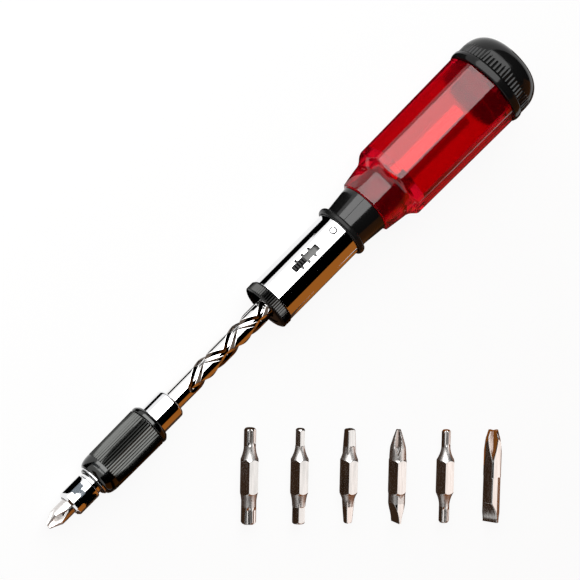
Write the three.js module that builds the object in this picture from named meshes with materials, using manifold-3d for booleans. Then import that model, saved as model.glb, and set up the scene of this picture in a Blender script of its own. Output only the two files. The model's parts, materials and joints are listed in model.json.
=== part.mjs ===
// Push-drive ratchet screwdriver lying on a table with six loose double-ended bits beside it.
// Millimetres, +Z up. The driver is drawn along its own axis, tip at 0, and then laid down.
import * as THREE from 'three';
import { mergeVertices } from 'three/addons/utils/BufferGeometryUtils.js';
import Module from 'manifold-3d';

const wasm = await Module();
wasm.setup();

// Clearances
const FIT = 0.3; // between pieces that seat on or in each other
const SLIP = 0.15; // between a bit and its socket

// Bits
const HEX_FLATS = 6.35; // quarter-inch hex, across flats
const BIT_LENGTH = 35;
const BIT_HEX_LENGTH = 12.2;
const BIT_NECK_D = 6;
const BIT_CHAMFER = 0.6;
const BIT_REACH = 10.4; // driver bit shown in front of its holder

// Bit holder and chuck
const HOLDER_HEAD_D = 10.1;
const HOLDER_HEAD_LENGTH = 10.1;
const HOLDER_SHANK_D = 8.6;
const HOLDER_TAIL = 6; // solid end behind the magnet
const HOLDER_FLAT_WIDTH = 6.9; // across the two driving flats of the tail
const HOLDER_LIP = 0.7;
const HOLDER_GAP = 2.5; // bare shank between the head and the collar
const MAGNET_LENGTH = 2.4;
const COLLAR_FRONT_D = 15.2;
const COLLAR_REAR_D = 15.8;
const COLLAR_LENGTH = 28.9;
const COLLAR_NOSE_LENGTH = 4.4;
const COLLAR_NOSE_DROP = 1.4; // of its rounded front, below the knurl
const COLLAR_BEVEL_LENGTH = 2.5;
const COLLAR_LAND_LENGTH = 10; // bore that rides on the chuck body
const COLLAR_TRAVEL = 3.5;
const KNURL_COUNT = 48;
const KNURL_DEPTH = 0.3;
const CHUCK_WALL = 0.85;
const CHUCK_TAIL_D = 11.7;
const CHUCK_TAIL_LENGTH = 9.8;
const CHUCK_WEB = 1.6;
const CHUCK_SEAT_WALL = 0.6; // under the spring
const CHUCK_SPRING_WIRE = 0.6;
const CHUCK_SPRING_CURLS = 4;
const FLANGE_LENGTH = 1.5;
const FRONT_CLIP_D = 12;
const FRONT_CLIP_LENGTH = 0.6;
const HOLDER_CLIP_LENGTH = 1.2;
const HOLDER_CLIP_OPEN_DEG = 120; // gap of the C-shaped clip
const HOLDER_GROOVE_DEPTH = 0.7;

// Spindle with its two crossing pairs of spiral grooves
const SPINDLE_D = 7.5;
const SPINDLE_PLAIN_LENGTH = 8.3;
const SPINDLE_SHOWN_LENGTH = 46.6;
const SPIRAL_LEAD = 34;
const SPIRAL_STARTS = 2;
const SPIRAL_PHASE_DEG = 46.5;
const GROOVE_WIDTH = 2.6;
const GROOVE_DEPTH = 1.15;
const STROKE_TURNS = 1.25;
const SPINDLE_TENON_D = 5.8;
const SPINDLE_TENON_LENGTH = 2.6;
const STOP_RING_D = 8.6;
const STOP_RING_LENGTH = 1.4;

// Barrel: lock ring, tube, nose bush and ratchet
const LOCK_RING_D = 19;
const LOCK_RING_LENGTH = 3.9;
const LOCK_RING_BEVEL = 0.9;
const LOCK_RING_BORE = 13;
const LOCK_CLIP_LENGTH = 0.6;
const LOCK_BALL_D = 1.6;
const TUBE_D = 18.3;
const TUBE_WALL = 0.8;
const TUBE_LENGTH = 36.3;
const BUSH_LENGTH = 11.8;
const BUSH_BORE_PLAY = 0.35;
const SPIGOT_LENGTH = 7; // of the neck inside the tube
const NUT_SHARE = 0.45; // of the room between spindle and tube
const NUT_TEETH = 12;
const NUT_TOOTH_DEPTH = 0.8;
const NUT_BORE_PLAY = 0.2;
const LUG_D = 1.6;
const PAWL_END_PLAY = 1.2;
const PAWL_HEEL_SHARE = 0.29; // of the room outside the nut
const PAWL_LIFT_DEG = 13;
const PAWL_SPRING_WIDTH = 2;
const PAWL_SPRING_THICKNESS = 0.2;
const SLOT_LENGTH = 12.4;
const SLOT_WIDTH = 2.3;
const SLOT_PITCH = 3.2; // between the three click notches
const NOTCH_WIDTH = 1.2;
const NOTCH_DEPTH = 1;
const BUTTON_LENGTH = 5.7;
const BUTTON_PROUD = 0.6;
const BUTTON_RIBS = 5;
const SLIDE_WIDTH = 3.6;
const SLIDE_THICKNESS = 0.55;
const SLIDE_LENGTH = 10.2;
const PIN_D = 2.5;
const PIN_SETBACK = 5; // pin centre to the rear end of the tube
const PIN_PROUD = 0.3;
const PIN_DEPTH = 2.2;
const RUBBER_RING_SECTION = 1; // stands proud of the tube
const RUBBER_RING_LENGTH = 2.3;

// Neck, grip and the spring inside them
const NECK_FRONT_D = 17.4;
const NECK_REAR_D = 19.6;
const NECK_LENGTH = 11.1;
const NECK_TAIL_D = 17.8;
const NECK_TAIL_LENGTH = 13.5;
const NECK_LIP = 0.7;
const GRIP_SIDES = 8;
const GRIP_COLLAR_FRONT_FLATS = 20.7;
const GRIP_COLLAR_FRONT_D = 22;
const GRIP_COLLAR_REAR_D = 24.1;
const GRIP_COLLAR_LENGTH = 7.7;
const GRIP_ARCH_LENGTH = 7.1; // from the front to the point of each facet of the collar
const GRIP_SHOULDER_LENGTH = 4.6;
const GRIP_COVE_DEG = 62; // slope of the shoulder where it meets the flats
const GRIP_FRONT_FLATS = 28.2;
const GRIP_REAR_FLATS = 29.5;
const GRIP_LENGTH = 48.8;
const GRIP_CORNER_RATIO = 1.058; // rounded corner to flat, measured from the axis
const STORE_FLATS = 24.8;
const STORE_WEB = 2.3;
const SPRING_TUBE_D = 10.5;
const SPRING_TUBE_WALL = 0.7;
const SPRING_WIRE = 0.9;
const SPRING_CURLS = 12;
const SPRING_LENGTH_PUSHED = 13.6; // of the return spring at full stroke
const FOLLOWER_LENGTH = 2.2;
const SEAT_LENGTH = 3;
const SPRING_BOSS_D = 5.2;
const SPRING_BOSS_LENGTH = 3;
const SPRING_TUBE_LIP = 0.7;

// End cap
const CAP_RIM_D = 32.5;
const CAP_RIM_LENGTH = 3.3;
const CAP_BAND_D = 31.5;
const CAP_BAND_LENGTH = 3.5;
const CAP_DOME_LENGTH = 8.7;
const CAP_FLAT_D = 15;
const CAP_RIBS = 48;
const CAP_RIB_DEPTH = 0.35;
const CAP_SKIRT_D = 24.1;
const CAP_SKIRT_WALL = 1.5;
const CAP_SKIRT_LENGTH = 6.5;
const CAP_CUP_DEPTH = 18.5;
const CAP_CUP_FLOOR_D = 15;
const GASKET_D = 26;
const GASKET_LENGTH = 1.5;

// Loose bits beside the driver, measured from the driver's tip on the table
const ROW_FIRST_X = 68;
const ROW_FIRST_Y = -48;
const ROW_SPACING = 21.3;
const ROW_HEADING_DEG = -47.2;
const ROW_BIT_HEADING_DEG = 50;
const ROLL_DEG = 45; // selector away from straight up, so that a flat of the grip faces down

// Facets
const ROUND_SIDES = 32;
const SMALL_SIDES = 20;
const GROOVE_STEPS = 12; // per turn
const CURL_STEPS = 8;
const WIRE_SIDES = 5;
const WELD = 1e-4;

// Stations along the driver, from the tip
const holderFront = BIT_REACH;
const holderHeadEnd = holderFront + HOLDER_HEAD_LENGTH;
const magnetFront = BIT_LENGTH + FIT;
const holderFloor = magnetFront + MAGNET_LENGTH + FIT;
const holderEnd = holderFloor + HOLDER_TAIL;
const collarFront = holderHeadEnd + HOLDER_GAP;
const collarEnd = collarFront + COLLAR_LENGTH;
const collarRingFront = collarEnd - COLLAR_BEVEL_LENGTH;
const collarLandEnd = collarFront + COLLAR_LAND_LENGTH;
const chuckFront = collarFront - FIT - FRONT_CLIP_LENGTH - FIT;
const chuckSocketEnd = holderEnd + FIT;
const spindleFront = chuckSocketEnd + CHUCK_WEB + FIT;
const chuckEnd = collarEnd + CHUCK_TAIL_LENGTH;
const flangeEnd = collarRingFront - FIT;
const flangeFront = flangeEnd - FLANGE_LENGTH;
const holderClipFront = collarFront + COLLAR_LAND_LENGTH / 2;
const spiralStart = chuckEnd + SPINDLE_PLAIN_LENGTH;
const ringFront = chuckEnd + SPINDLE_SHOWN_LENGTH;
const ringEnd = ringFront + LOCK_RING_LENGTH;
const tubeFront = ringEnd + FIT;
const tubeEnd = tubeFront + TUBE_LENGTH;
const bushEnd = tubeFront + BUSH_LENGTH;
const rightNutFront = bushEnd + FIT;
const spigotFront = tubeEnd - SPIGOT_LENGTH;
const nutLength = (spigotFront - rightNutFront - 2 * FIT) / 2;
const leftNutFront = rightNutFront + nutLength + FIT;
const neckFront = tubeEnd + FIT;
const gripFront = neckFront + NECK_LENGTH;
const gripCollarEnd = gripFront + GRIP_COLLAR_LENGTH;
const gripFlatFront = gripCollarEnd + GRIP_SHOULDER_LENGTH;
const gripEnd = gripFlatFront + GRIP_LENGTH;
const capFront = gripEnd + FIT;
const capBandFront = capFront + CAP_RIM_LENGTH;
const capDomeFront = capBandFront + CAP_BAND_LENGTH;
const capEnd = capDomeFront + CAP_DOME_LENGTH;
const storeFloor = gripFront + NECK_TAIL_LENGTH + FIT + STORE_WEB;
const springTubeFront = spigotFront + NECK_LIP + FIT;
const stopRingFront = springTubeFront + FIT;
const spindleEnd = stopRingFront + SPINDLE_TENON_LENGTH - FIT;
const spindleShoulder = stopRingFront - FIT;
const stroke = STROKE_TURNS * SPIRAL_LEAD;
const followerFront = spindleEnd + FIT;
const springFront = followerFront + FOLLOWER_LENGTH + FIT;
const springEnd = springFront + stroke + SPRING_LENGTH_PUSHED;
const seatFront = springEnd + FIT;
const springTubeEnd = seatFront + SEAT_LENGTH + FIT + SPRING_TUBE_LIP;
const slotFront = rightNutFront - FIT - SLOT_PITCH / 4;

// Radii shared by pieces that fit together
const hexRadius = HEX_FLATS / Math.sqrt(3);
const shankR = HOLDER_SHANK_D / 2;
const chuckBoreR = shankR + FIT;
const chuckBodyR = chuckBoreR + CHUCK_WALL;
const collarLandR = chuckBodyR + FIT;
const chuckSeatR = chuckBoreR + CHUCK_SEAT_WALL;
const chuckSpringR = (chuckSeatR + SLIP + CHUCK_SPRING_WIRE / 2) / Math.cos(Math.PI / CURL_STEPS);
const flangeR = chuckSpringR + CHUCK_SPRING_WIRE / 2;
const collarPocketR = flangeR + FIT;
const chuckTailR = CHUCK_TAIL_D / 2;
const clipGrooveR = shankR - HOLDER_GROOVE_DEPTH;
const spindleR = SPINDLE_D / 2;
const grooveFloorR = spindleR - GROOVE_DEPTH;
const tubeR = TUBE_D / 2;
const tubeBoreR = tubeR - TUBE_WALL;
const innerSleeveR = tubeBoreR - FIT;
const nutBoreR = spindleR + NUT_BORE_PLAY;
const nutR = THREE.MathUtils.lerp(nutBoreR, innerSleeveR, NUT_SHARE);
const nutRootR = nutR - NUT_TOOTH_DEPTH;
const pawlRoom = innerSleeveR - nutR;
const housingBoreR = nutR + FIT;
const bushNoseR = LOCK_RING_BORE / 2 - FIT;
const bushBoreR = spindleR + BUSH_BORE_PLAY;
const springTubeR = SPRING_TUBE_D / 2;
const springTubeBoreR = springTubeR - SPRING_TUBE_WALL;
const springTubeSeatR = springTubeR + FIT;
const neckTailR = NECK_TAIL_D / 2;
const springR = springTubeBoreR - 2 * FIT - SPRING_WIRE / 2;
const skirtR = CAP_SKIRT_D / 2;
const gasketR = GASKET_D / 2;

const rad = THREE.MathUtils.degToRad;

// Solids: welding, joining and cutting
function signedVolume(places, index) {
  const corner = (n) => new THREE.Vector3().fromArray(places, index[n] * 3);
  let total = 0;
  for (let n = 0; n < index.length; n += 3) {
    total += corner(n).dot(corner(n + 1).cross(corner(n + 2)));
  }
  return total;
}

function weld(geometry) {
  const bare = geometry.clone();
  bare.deleteAttribute('normal');
  bare.deleteAttribute('uv');
  const merged = mergeVertices(bare, WELD);
  const source = merged.index.array;
  const index = [];
  for (let n = 0; n < source.length; n += 3) {
    const [a, b, c] = source.slice(n, n + 3);
    if (a !== b && b !== c && c !== a) index.push(a, b, c);
  }
  if (signedVolume(merged.attributes.position.array, index) < 0) index.reverse();
  merged.setIndex(index);
  return merged;
}

function toSolid(geometry) {
  const welded = weld(geometry);
  return new wasm.Manifold(new wasm.Mesh({
    numProp: 3,
    vertProperties: new Float32Array(welded.attributes.position.array),
    triVerts: new Uint32Array(welded.index.array),
  }));
}

function toGeometry(solid) {
  const mesh = solid.getMesh();
  const geometry = new THREE.BufferGeometry();
  geometry.setAttribute('position', new THREE.BufferAttribute(mesh.vertProperties, 3));
  geometry.setIndex(new THREE.BufferAttribute(mesh.triVerts, 1));
  return geometry;
}

function cut(base, ...tools) {
  return toGeometry(tools.reduce((solid, tool) => solid.subtract(toSolid(tool)), toSolid(base)));
}

function join(base, ...others) {
  return toGeometry(others.reduce((solid, other) => solid.add(toSolid(other)), toSolid(base)));
}

function keepInside(base, envelope) {
  return toGeometry(toSolid(base).intersect(toSolid(envelope)));
}

// Basic forms along the driver's axis
function revolve(profile, sides = ROUND_SIDES) {
  const closed = profile[0][0] > 0 ? [...profile, profile[0]] : profile;
  const points = closed.map(([radius, height]) => new THREE.Vector2(radius, height));
  return new THREE.LatheGeometry(points, sides).rotateX(Math.PI / 2);
}

function rod(radius, from, to, sides = SMALL_SIDES) {
  return revolve([[0, from], [radius, from], [radius, to], [0, to]], sides);
}

function sleeve(inner, outer, from, to, sides = ROUND_SIDES) {
  return revolve([[inner, from], [outer, from], [outer, to], [inner, to]], sides);
}

function box(x, y, z, width, depth, height) {
  return new THREE.BoxGeometry(width, depth, height).translate(x, y, z);
}

function prism(points, from, to) {
  const shape = new THREE.Shape(points.map(([x, y]) => new THREE.Vector2(x, y)));
  return new THREE.ExtrudeGeometry(shape, { depth: to - from, bevelEnabled: false }).translate(0, 0, from);
}

function polar(radius, degrees) {
  return [radius * Math.cos(rad(degrees)), radius * Math.sin(rad(degrees))];
}

function sector(inner, outer, fromDeg, toDeg, from, to) {
  const shape = new THREE.Shape();
  shape.absarc(0, 0, outer, rad(fromDeg), rad(toDeg), false);
  shape.absarc(0, 0, inner, rad(toDeg), rad(fromDeg), true);
  const options = { depth: to - from, bevelEnabled: false, curveSegments: SMALL_SIDES / 2 };
  return new THREE.ExtrudeGeometry(shape, options).translate(0, 0, from);
}

// A skin through outlines of equal point counts, closed at both ends
function loft(outlines) {
  const count = outlines[0].points.length;
  const places = outlines.flatMap(({ points, z }) => points.flatMap(([x, y]) => [x, y, z]));
  const index = [];
  for (let row = 0; row + 1 < outlines.length; row++) {
    for (let n = 0; n < count; n++) {
      const a = row * count + n;
      const b = row * count + ((n + 1) % count);
      index.push(a, b, b + count, a, b + count, a + count);
    }
  }
  const flat = ({ points }) => points.map((point) => new THREE.Vector2(...point));
  const capOf = (outline) => THREE.ShapeUtils.triangulateShape(flat(outline), []);
  const last = (outlines.length - 1) * count;
  capOf(outlines[0]).forEach(([a, b, c]) => index.push(c, b, a));
  capOf(outlines.at(-1)).forEach(([a, b, c]) => index.push(last + a, last + b, last + c));
  const geometry = new THREE.BufferGeometry();
  geometry.setAttribute('position', new THREE.Float32BufferAttribute(places, 3));
  geometry.setIndex(index);
  return geometry;
}

function polarOutline(count, radiusAt, turnDeg = 0) {
  return Array.from({ length: count }, (_, n) => {
    const angle = (360 * n) / count + turnDeg;
    return polar(radiusAt(rad(angle)), angle);
  });
}

function regular(sides, flats, turnDeg = 0) {
  const radius = flats / 2 / Math.cos(Math.PI / sides);
  return Array.from({ length: sides }, (_, n) => polar(radius, (360 * (n + 0.5)) / sides + turnDeg));
}

// Ring of straight grooves that leaves fine ridges along the axis
function ridgeCutter(outerR, depth, count, from, to) {
  const shape = new THREE.Shape();
  shape.absarc(0, 0, outerR + 2 * depth, 0, 2 * Math.PI, false);
  const valley = (n) => (n % 2 ? outerR : outerR - depth);
  const points = Array.from({ length: 2 * count }, (_, n) => polar(valley(n), (180 * n) / count));
  shape.holes.push(new THREE.Path(points.map((p) => new THREE.Vector2(...p))));
  const options = { depth: to - from, bevelEnabled: false, curveSegments: SMALL_SIDES };
  return new THREE.ExtrudeGeometry(shape, options).translate(0, 0, from);
}

// Sweep of a flat section along a helix; each section point is [across, radius]
function helixSweep(stations, section) {
  const outlines = stations.map(({ z, angle, slope, size }) => {
    const radial = new THREE.Vector3(Math.cos(angle), Math.sin(angle), 0);
    const tangent = new THREE.Vector3(-Math.sin(angle) * slope, Math.cos(angle) * slope, 1).normalize();
    const side = new THREE.Vector3().crossVectors(radial, tangent);
    return section.map(([across, radius]) => new THREE.Vector3(0, 0, z)
      .addScaledVector(radial, radius)
      .addScaledVector(side, across * size));
  });
  return skinThrough(outlines);
}

function skinThrough(outlines) {
  const count = outlines[0].length;
  const index = [];
  for (let row = 0; row + 1 < outlines.length; row++) {
    for (let n = 0; n < count; n++) {
      const a = row * count + n;
      const b = row * count + ((n + 1) % count);
      index.push(a, b, b + count, a, b + count, a + count);
    }
  }
  const last = (outlines.length - 1) * count;
  for (let n = 1; n + 1 < count; n++) {
    index.push(0, n + 1, n);
    index.push(last, last + n, last + n + 1);
  }
  const geometry = new THREE.BufferGeometry();
  const places = outlines.flat().flatMap((point) => point.toArray());
  geometry.setAttribute('position', new THREE.Float32BufferAttribute(places, 3));
  geometry.setIndex(index);
  return geometry;
}

// Coil spring as one unbroken wire, from z = 0 to its length
function coilSpring(name, meanR, wire, length, curls) {
  const centres = [];
  const climb = (length - wire) / (curls * CURL_STEPS);
  for (let n = 0; n <= curls * CURL_STEPS; n++) {
    const [x, y] = polar(meanR, (360 * n) / CURL_STEPS);
    centres.push(new THREE.Vector3(x, y, wire / 2 + n * climb));
  }
  const run = (at, angleDeg, sign) => {
    const [x, y] = polar(1, angleDeg + 90);
    return centres.at(at).clone().add(new THREE.Vector3(x, y, 0).multiplyScalar(sign * wire));
  };
  const lastAngle = 360 * curls;
  const path = [run(0, 0, -1), ...centres, run(-1, lastAngle, 1)];
  const angles = [0, ...centres.map((_, n) => (360 * n) / CURL_STEPS), lastAngle];
  let gap = Infinity;
  centres.forEach((a, n) => centres.slice(n + CURL_STEPS - 1).forEach((b) => {
    gap = Math.min(gap, a.distanceTo(b) - wire);
  }));
  console.log(`${name}: least gap between its curls ${gap.toFixed(2)} mm`);
  const rings = path.map((centre, n) => {
    const [x, y] = polar(1, angles[n]);
    const radial = new THREE.Vector3(x, y, 0);
    return Array.from({ length: WIRE_SIDES }, (_, k) => {
      const [out, up] = polar(wire / 2, (360 * k) / WIRE_SIDES);
      return centre.clone().addScaledVector(radial, out).add(new THREE.Vector3(0, 0, up));
    });
  });
  return weld(skinThrough(rings));
}

// Bit ends: each is an outline for a distance behind the tip, on the bit's own axis
function lobedEnd(lobeD) {
  const star = (scale) => polarOutline(24, (a) => scale * (lobeD / 2) * (0.86 + 0.14 * Math.cos(6 * a)));
  return [{ z: 0, points: star(0.84) }, { z: 0.5, points: star(1) }, { z: 6.5, points: star(1) }];
}

function sidedOutline(sides, flats) {
  const share = (2 * Math.PI) / sides;
  return polarOutline(12, (a) => flats / 2 / Math.cos((a % share) - share / 2));
}

function sixSidedEnd(flats) {
  const hex = sidedOutline(6, flats);
  return [{ z: 0, points: sidedOutline(6, flats * 0.84) }, { z: 0.5, points: hex }, { z: 7, points: hex }];
}

function squareEnd(tipWidth, rootWidth) {
  return [{ z: 0, points: sidedOutline(4, tipWidth) }, { z: 7, points: sidedOutline(4, rootWidth) }];
}

function crossEnd(tipD, wingD) {
  const hollow = (a) => Math.abs(Math.sin(2 * a)) ** 0.6;
  const cross = (d, flute) => polarOutline(16, (a) => (d / 2) * (1 - flute * hollow(a)));
  return [
    { z: 0, points: cross(tipD, 0.3) },
    { z: 0.9, points: cross(tipD + 1.5, 0.5) },
    { z: 3.2, points: cross(wingD - 0.5, 0.5) },
    { z: 4.2, points: cross(wingD, 0.42) },
    { z: 7.6, points: cross(wingD, 0) },
  ];
}

function bladeEnd(width, thickness) {
  const squared = (x) => Math.sign(x) * Math.abs(x) ** 0.2;
  const blade = (w, t) => polarOutline(16, () => 1, 360 / 32)
    .map(([x, y]) => [(w / 2) * squared(x), (t / 2) * squared(y)]);
  const rootOutline = polarOutline(16, () => width / 2, 360 / 32);
  return [
    { z: 0, points: blade(width, thickness) },
    { z: 3, points: blade(width, thickness * 1.5) },
    { z: 8, points: rootOutline },
  ];
}

function quarterTurned(end) {
  return end.map(({ z, points }) => ({ z, points: points.map(([x, y]) => [-y, x]) }));
}

// Double-ended bit: front end at z = 0, rear end at its full length
function doubleEndedBit(front, rear, neckD = BIT_NECK_D) {
  const neckLength = (BIT_LENGTH - BIT_HEX_LENGTH) / 2;
  const hexEnd = neckLength + BIT_HEX_LENGTH;
  const chamfered = regular(6, HEX_FLATS - 2 * BIT_CHAMFER);
  const full = regular(6, HEX_FLATS);
  const hex = loft([
    { z: neckLength, points: chamfered },
    { z: neckLength + BIT_CHAMFER, points: full },
    { z: hexEnd - BIT_CHAMFER, points: full },
    { z: hexEnd, points: chamfered },
  ]);
  const half = (end) => {
    const { z: rootZ, points } = end.at(-1);
    const root = points.map(([x, y]) => [x, y].map((v) => (v * neckD) / 2 / Math.hypot(x, y)));
    return loft([...end, { z: rootZ + 1, points: root }, { z: neckLength + BIT_CHAMFER, points: root }]);
  };
  return join(hex, half(front), half(rear).rotateX(Math.PI).translate(0, 0, BIT_LENGTH));
}

// Chuck: holder, collar and the body that carries them on the spindle
function bitHolder() {
  const headR = HOLDER_HEAD_D / 2;
  const grooveEnd = holderClipFront + HOLDER_CLIP_LENGTH + FIT;
  const body = revolve([
    [0, holderFront],
    [headR - HOLDER_LIP, holderFront],
    [headR, holderFront + HOLDER_LIP],
    [headR, holderHeadEnd - HOLDER_LIP / 2],
    [headR - HOLDER_LIP / 2, holderHeadEnd],
    [shankR, holderHeadEnd],
    [shankR, holderClipFront - FIT],
    [clipGrooveR, holderClipFront - FIT],
    [clipGrooveR, grooveEnd],
    [shankR, grooveEnd],
    [shankR, holderEnd],
    [0, holderEnd],
  ]);
  const socketEnd = (BIT_LENGTH + BIT_HEX_LENGTH) / 2 + FIT;
  const socket = prism(regular(6, HEX_FLATS + 2 * SLIP), holderFront - 1, socketEnd);
  const well = rod(BIT_NECK_D / 2 + SLIP, socketEnd - 1, holderFloor);
  const flatDepth = HOLDER_SHANK_D;
  const flats = [1, -1].map((side) => box(
    0,
    side * (HOLDER_FLAT_WIDTH / 2 + flatDepth / 2),
    holderEnd,
    HOLDER_SHANK_D * 2,
    flatDepth,
    2 * HOLDER_TAIL,
  ));
  return cut(body, socket, well, ...flats);
}

function holderMagnet() {
  return rod(BIT_NECK_D / 2 - SLIP, magnetFront, magnetFront + MAGNET_LENGTH);
}

function holderClip() {
  const half = HOLDER_CLIP_OPEN_DEG / 2;
  const rear = holderClipFront + HOLDER_CLIP_LENGTH;
  return sector(clipGrooveR + FIT, chuckBodyR, half, 360 - half, holderClipFront, rear);
}

function chuckBody() {
  const bevel = 1.2;
  const body = revolve([
    [0, chuckFront],
    [chuckBodyR, chuckFront],
    [chuckBodyR, collarLandEnd],
    [chuckSeatR, collarLandEnd],
    [chuckSeatR, flangeFront],
    [flangeR, flangeFront],
    [flangeR, flangeEnd],
    [chuckTailR, flangeEnd],
    [chuckTailR, chuckEnd - bevel / 2],
    [chuckTailR - bevel, chuckEnd],
    [0, chuckEnd],
  ]);
  const clipGroove = sleeve(
    chuckBodyR - FIT,
    chuckBodyR + 1,
    chuckFront + FIT,
    chuckFront + FIT + FRONT_CLIP_LENGTH + FIT,
  );
  const driveFlats = holderEnd - HOLDER_TAIL + FIT;
  const bore = rod(chuckBoreR, chuckFront - 1, driveFlats, ROUND_SIDES);
  const flatBore = keepInside(
    rod(chuckBoreR, driveFlats - 1, chuckSocketEnd, ROUND_SIDES),
    box(0, 0, holderEnd, HOLDER_SHANK_D * 2, HOLDER_FLAT_WIDTH + 2 * FIT, 4 * HOLDER_TAIL),
  );
  const spindleBore = rod(spindleR + SLIP, spindleFront - FIT, chuckEnd + 1, ROUND_SIDES);
  const half = HOLDER_CLIP_OPEN_DEG / 2 - 5;
  const clipSlot = sector(
    clipGrooveR,
    chuckBodyR + 1,
    half,
    360 - half,
    holderClipFront - FIT,
    holderClipFront + HOLDER_CLIP_LENGTH + FIT,
  );
  return cut(body, clipGroove, bore, flatBore, spindleBore, clipSlot);
}

function frontClip() {
  const front = chuckFront + FIT + FIT / 2;
  return sleeve(chuckBodyR - FIT / 2, FRONT_CLIP_D / 2, front, front + FRONT_CLIP_LENGTH, SMALL_SIDES);
}

function collarRadius(z) {
  return THREE.MathUtils.mapLinear(z, collarFront, collarEnd, COLLAR_FRONT_D / 2, COLLAR_REAR_D / 2);
}

function chuckCollar() {
  const noseEnd = collarFront + COLLAR_NOSE_LENGTH;
  const noseR = collarRadius(noseEnd);
  const roundSteps = 5;
  const nose = Array.from({ length: roundSteps + 1 }, (_, n) => {
    const turn = (Math.PI / 2) * (n / roundSteps);
    const reach = COLLAR_NOSE_LENGTH * Math.cos(turn);
    return [noseR - COLLAR_NOSE_DROP * (1 - Math.sin(turn)), noseEnd - reach];
  });
  const rearR = collarRadius(collarRingFront);
  const to = collarRingFront - FIT;
  const shell = revolve([[0, collarFront], ...nose, [rearR, to], [0, to]], KNURL_COUNT);
  const knurl = ridgeCutter(rearR, KNURL_DEPTH + (rearR - noseR), KNURL_COUNT, noseEnd, to - FIT);
  const land = rod(collarLandR, collarFront - 1, to);
  const pocket = rod(collarPocketR, collarLandEnd, to + 1);
  return cut(shell, knurl, land, pocket);
}

function collarEndRing() {
  const bevel = COLLAR_BEVEL_LENGTH / 2;
  const tail = collarRadius(collarEnd);
  return revolve([
    [chuckTailR + FIT, collarRingFront],
    [tail, collarRingFront],
    [tail, collarEnd - bevel],
    [tail - bevel, collarEnd],
    [chuckTailR + FIT, collarEnd],
  ]);
}

function chuckSpring() {
  const from = collarLandEnd + FIT;
  const length = flangeFront - FIT - from;
  const coil = coilSpring('chuck_spring', chuckSpringR, CHUCK_SPRING_WIRE, length, CHUCK_SPRING_CURLS);
  return coil.translate(0, 0, from);
}

// Spindle: two right-hand and two left-hand grooves that start where they cross
function spiralGroove(hand, start) {
  const half = GROOVE_WIDTH / 2;
  const over = 0.6;
  const section = [
    [-half - over / 3, spindleR + over],
    [-half * 0.6, grooveFloorR],
    [half * 0.6, grooveFloorR],
    [half + over / 3, spindleR + over],
  ];
  const step = SPIRAL_LEAD / GROOVE_STEPS;
  const heights = [-half * 0.97, -half * 0.7, -half * 0.3];
  for (let z = 0.4; z < spindleShoulder + 1 - spiralStart; z += step) heights.push(z);
  heights.push(spindleShoulder + 1 - spiralStart);
  const turnPerLength = (hand * 2 * Math.PI) / SPIRAL_LEAD;
  const phase = rad(SPIRAL_PHASE_DEG) + (2 * Math.PI * start) / SPIRAL_STARTS;
  const stations = heights.map((height) => ({
    z: spiralStart + height,
    angle: phase + turnPerLength * height,
    slope: turnPerLength * spindleR,
    size: height < 0 ? Math.sqrt(1 - (height / half) ** 2) : 1,
  }));
  return helixSweep(stations, section);
}

function spiralSpindle() {
  const tenonR = SPINDLE_TENON_D / 2;
  const shaft = revolve([
    [0, spindleFront],
    [spindleR, spindleFront],
    [spindleR, spindleShoulder],
    [tenonR, spindleShoulder],
    [tenonR, spindleEnd],
    [0, spindleEnd],
  ], SMALL_SIDES + 4);
  const grooves = [];
  for (let start = 0; start < SPIRAL_STARTS; start++) {
    grooves.push(spiralGroove(1, start), spiralGroove(-1, start));
  }
  return cut(shaft, ...grooves);
}

function spindleStop() {
  const inner = SPINDLE_TENON_D / 2 + FIT / 2;
  return sleeve(inner, STOP_RING_D / 2, stopRingFront, stopRingFront + STOP_RING_LENGTH, SMALL_SIDES);
}

// Drive nut: lugs that run in one hand of grooves, ratchet teeth outside
function driveNut(hand, front) {
  const pitch = 360 / NUT_TEETH;
  const outline = [];
  for (let n = 0; n < NUT_TEETH; n++) {
    const face = 17.5 + n * pitch;
    outline.push(polar(nutRootR, face + 2), polar(nutR, face + pitch - 0.2));
  }
  const toothed = prism(outline, front, front + nutLength);
  const bore = rod(nutBoreR, front - 1, front + nutLength + 1, ROUND_SIDES);
  const bored = cut(hand > 0 ? toothed : toothed.scale(1, -1, 1), bore);
  const middle = front + nutLength / 2;
  const reach = nutBoreR + (nutRootR - nutBoreR) / 2;
  const lugFoot = grooveFloorR + FIT;
  const lugs = [];
  for (let start = 0; start < SPIRAL_STARTS; start++) {
    const angle = rad(SPIRAL_PHASE_DEG) + (2 * Math.PI * start) / SPIRAL_STARTS
      + (hand * 2 * Math.PI * (middle - spiralStart)) / SPIRAL_LEAD;
    const lug = new THREE.CylinderGeometry(LUG_D / 2, LUG_D / 2, reach - lugFoot, SMALL_SIDES / 2);
    lugs.push(lug.rotateZ(Math.PI / 2).translate((reach + lugFoot) / 2, 0, middle).rotateZ(angle));
  }
  return join(bored, ...lugs);
}

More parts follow.
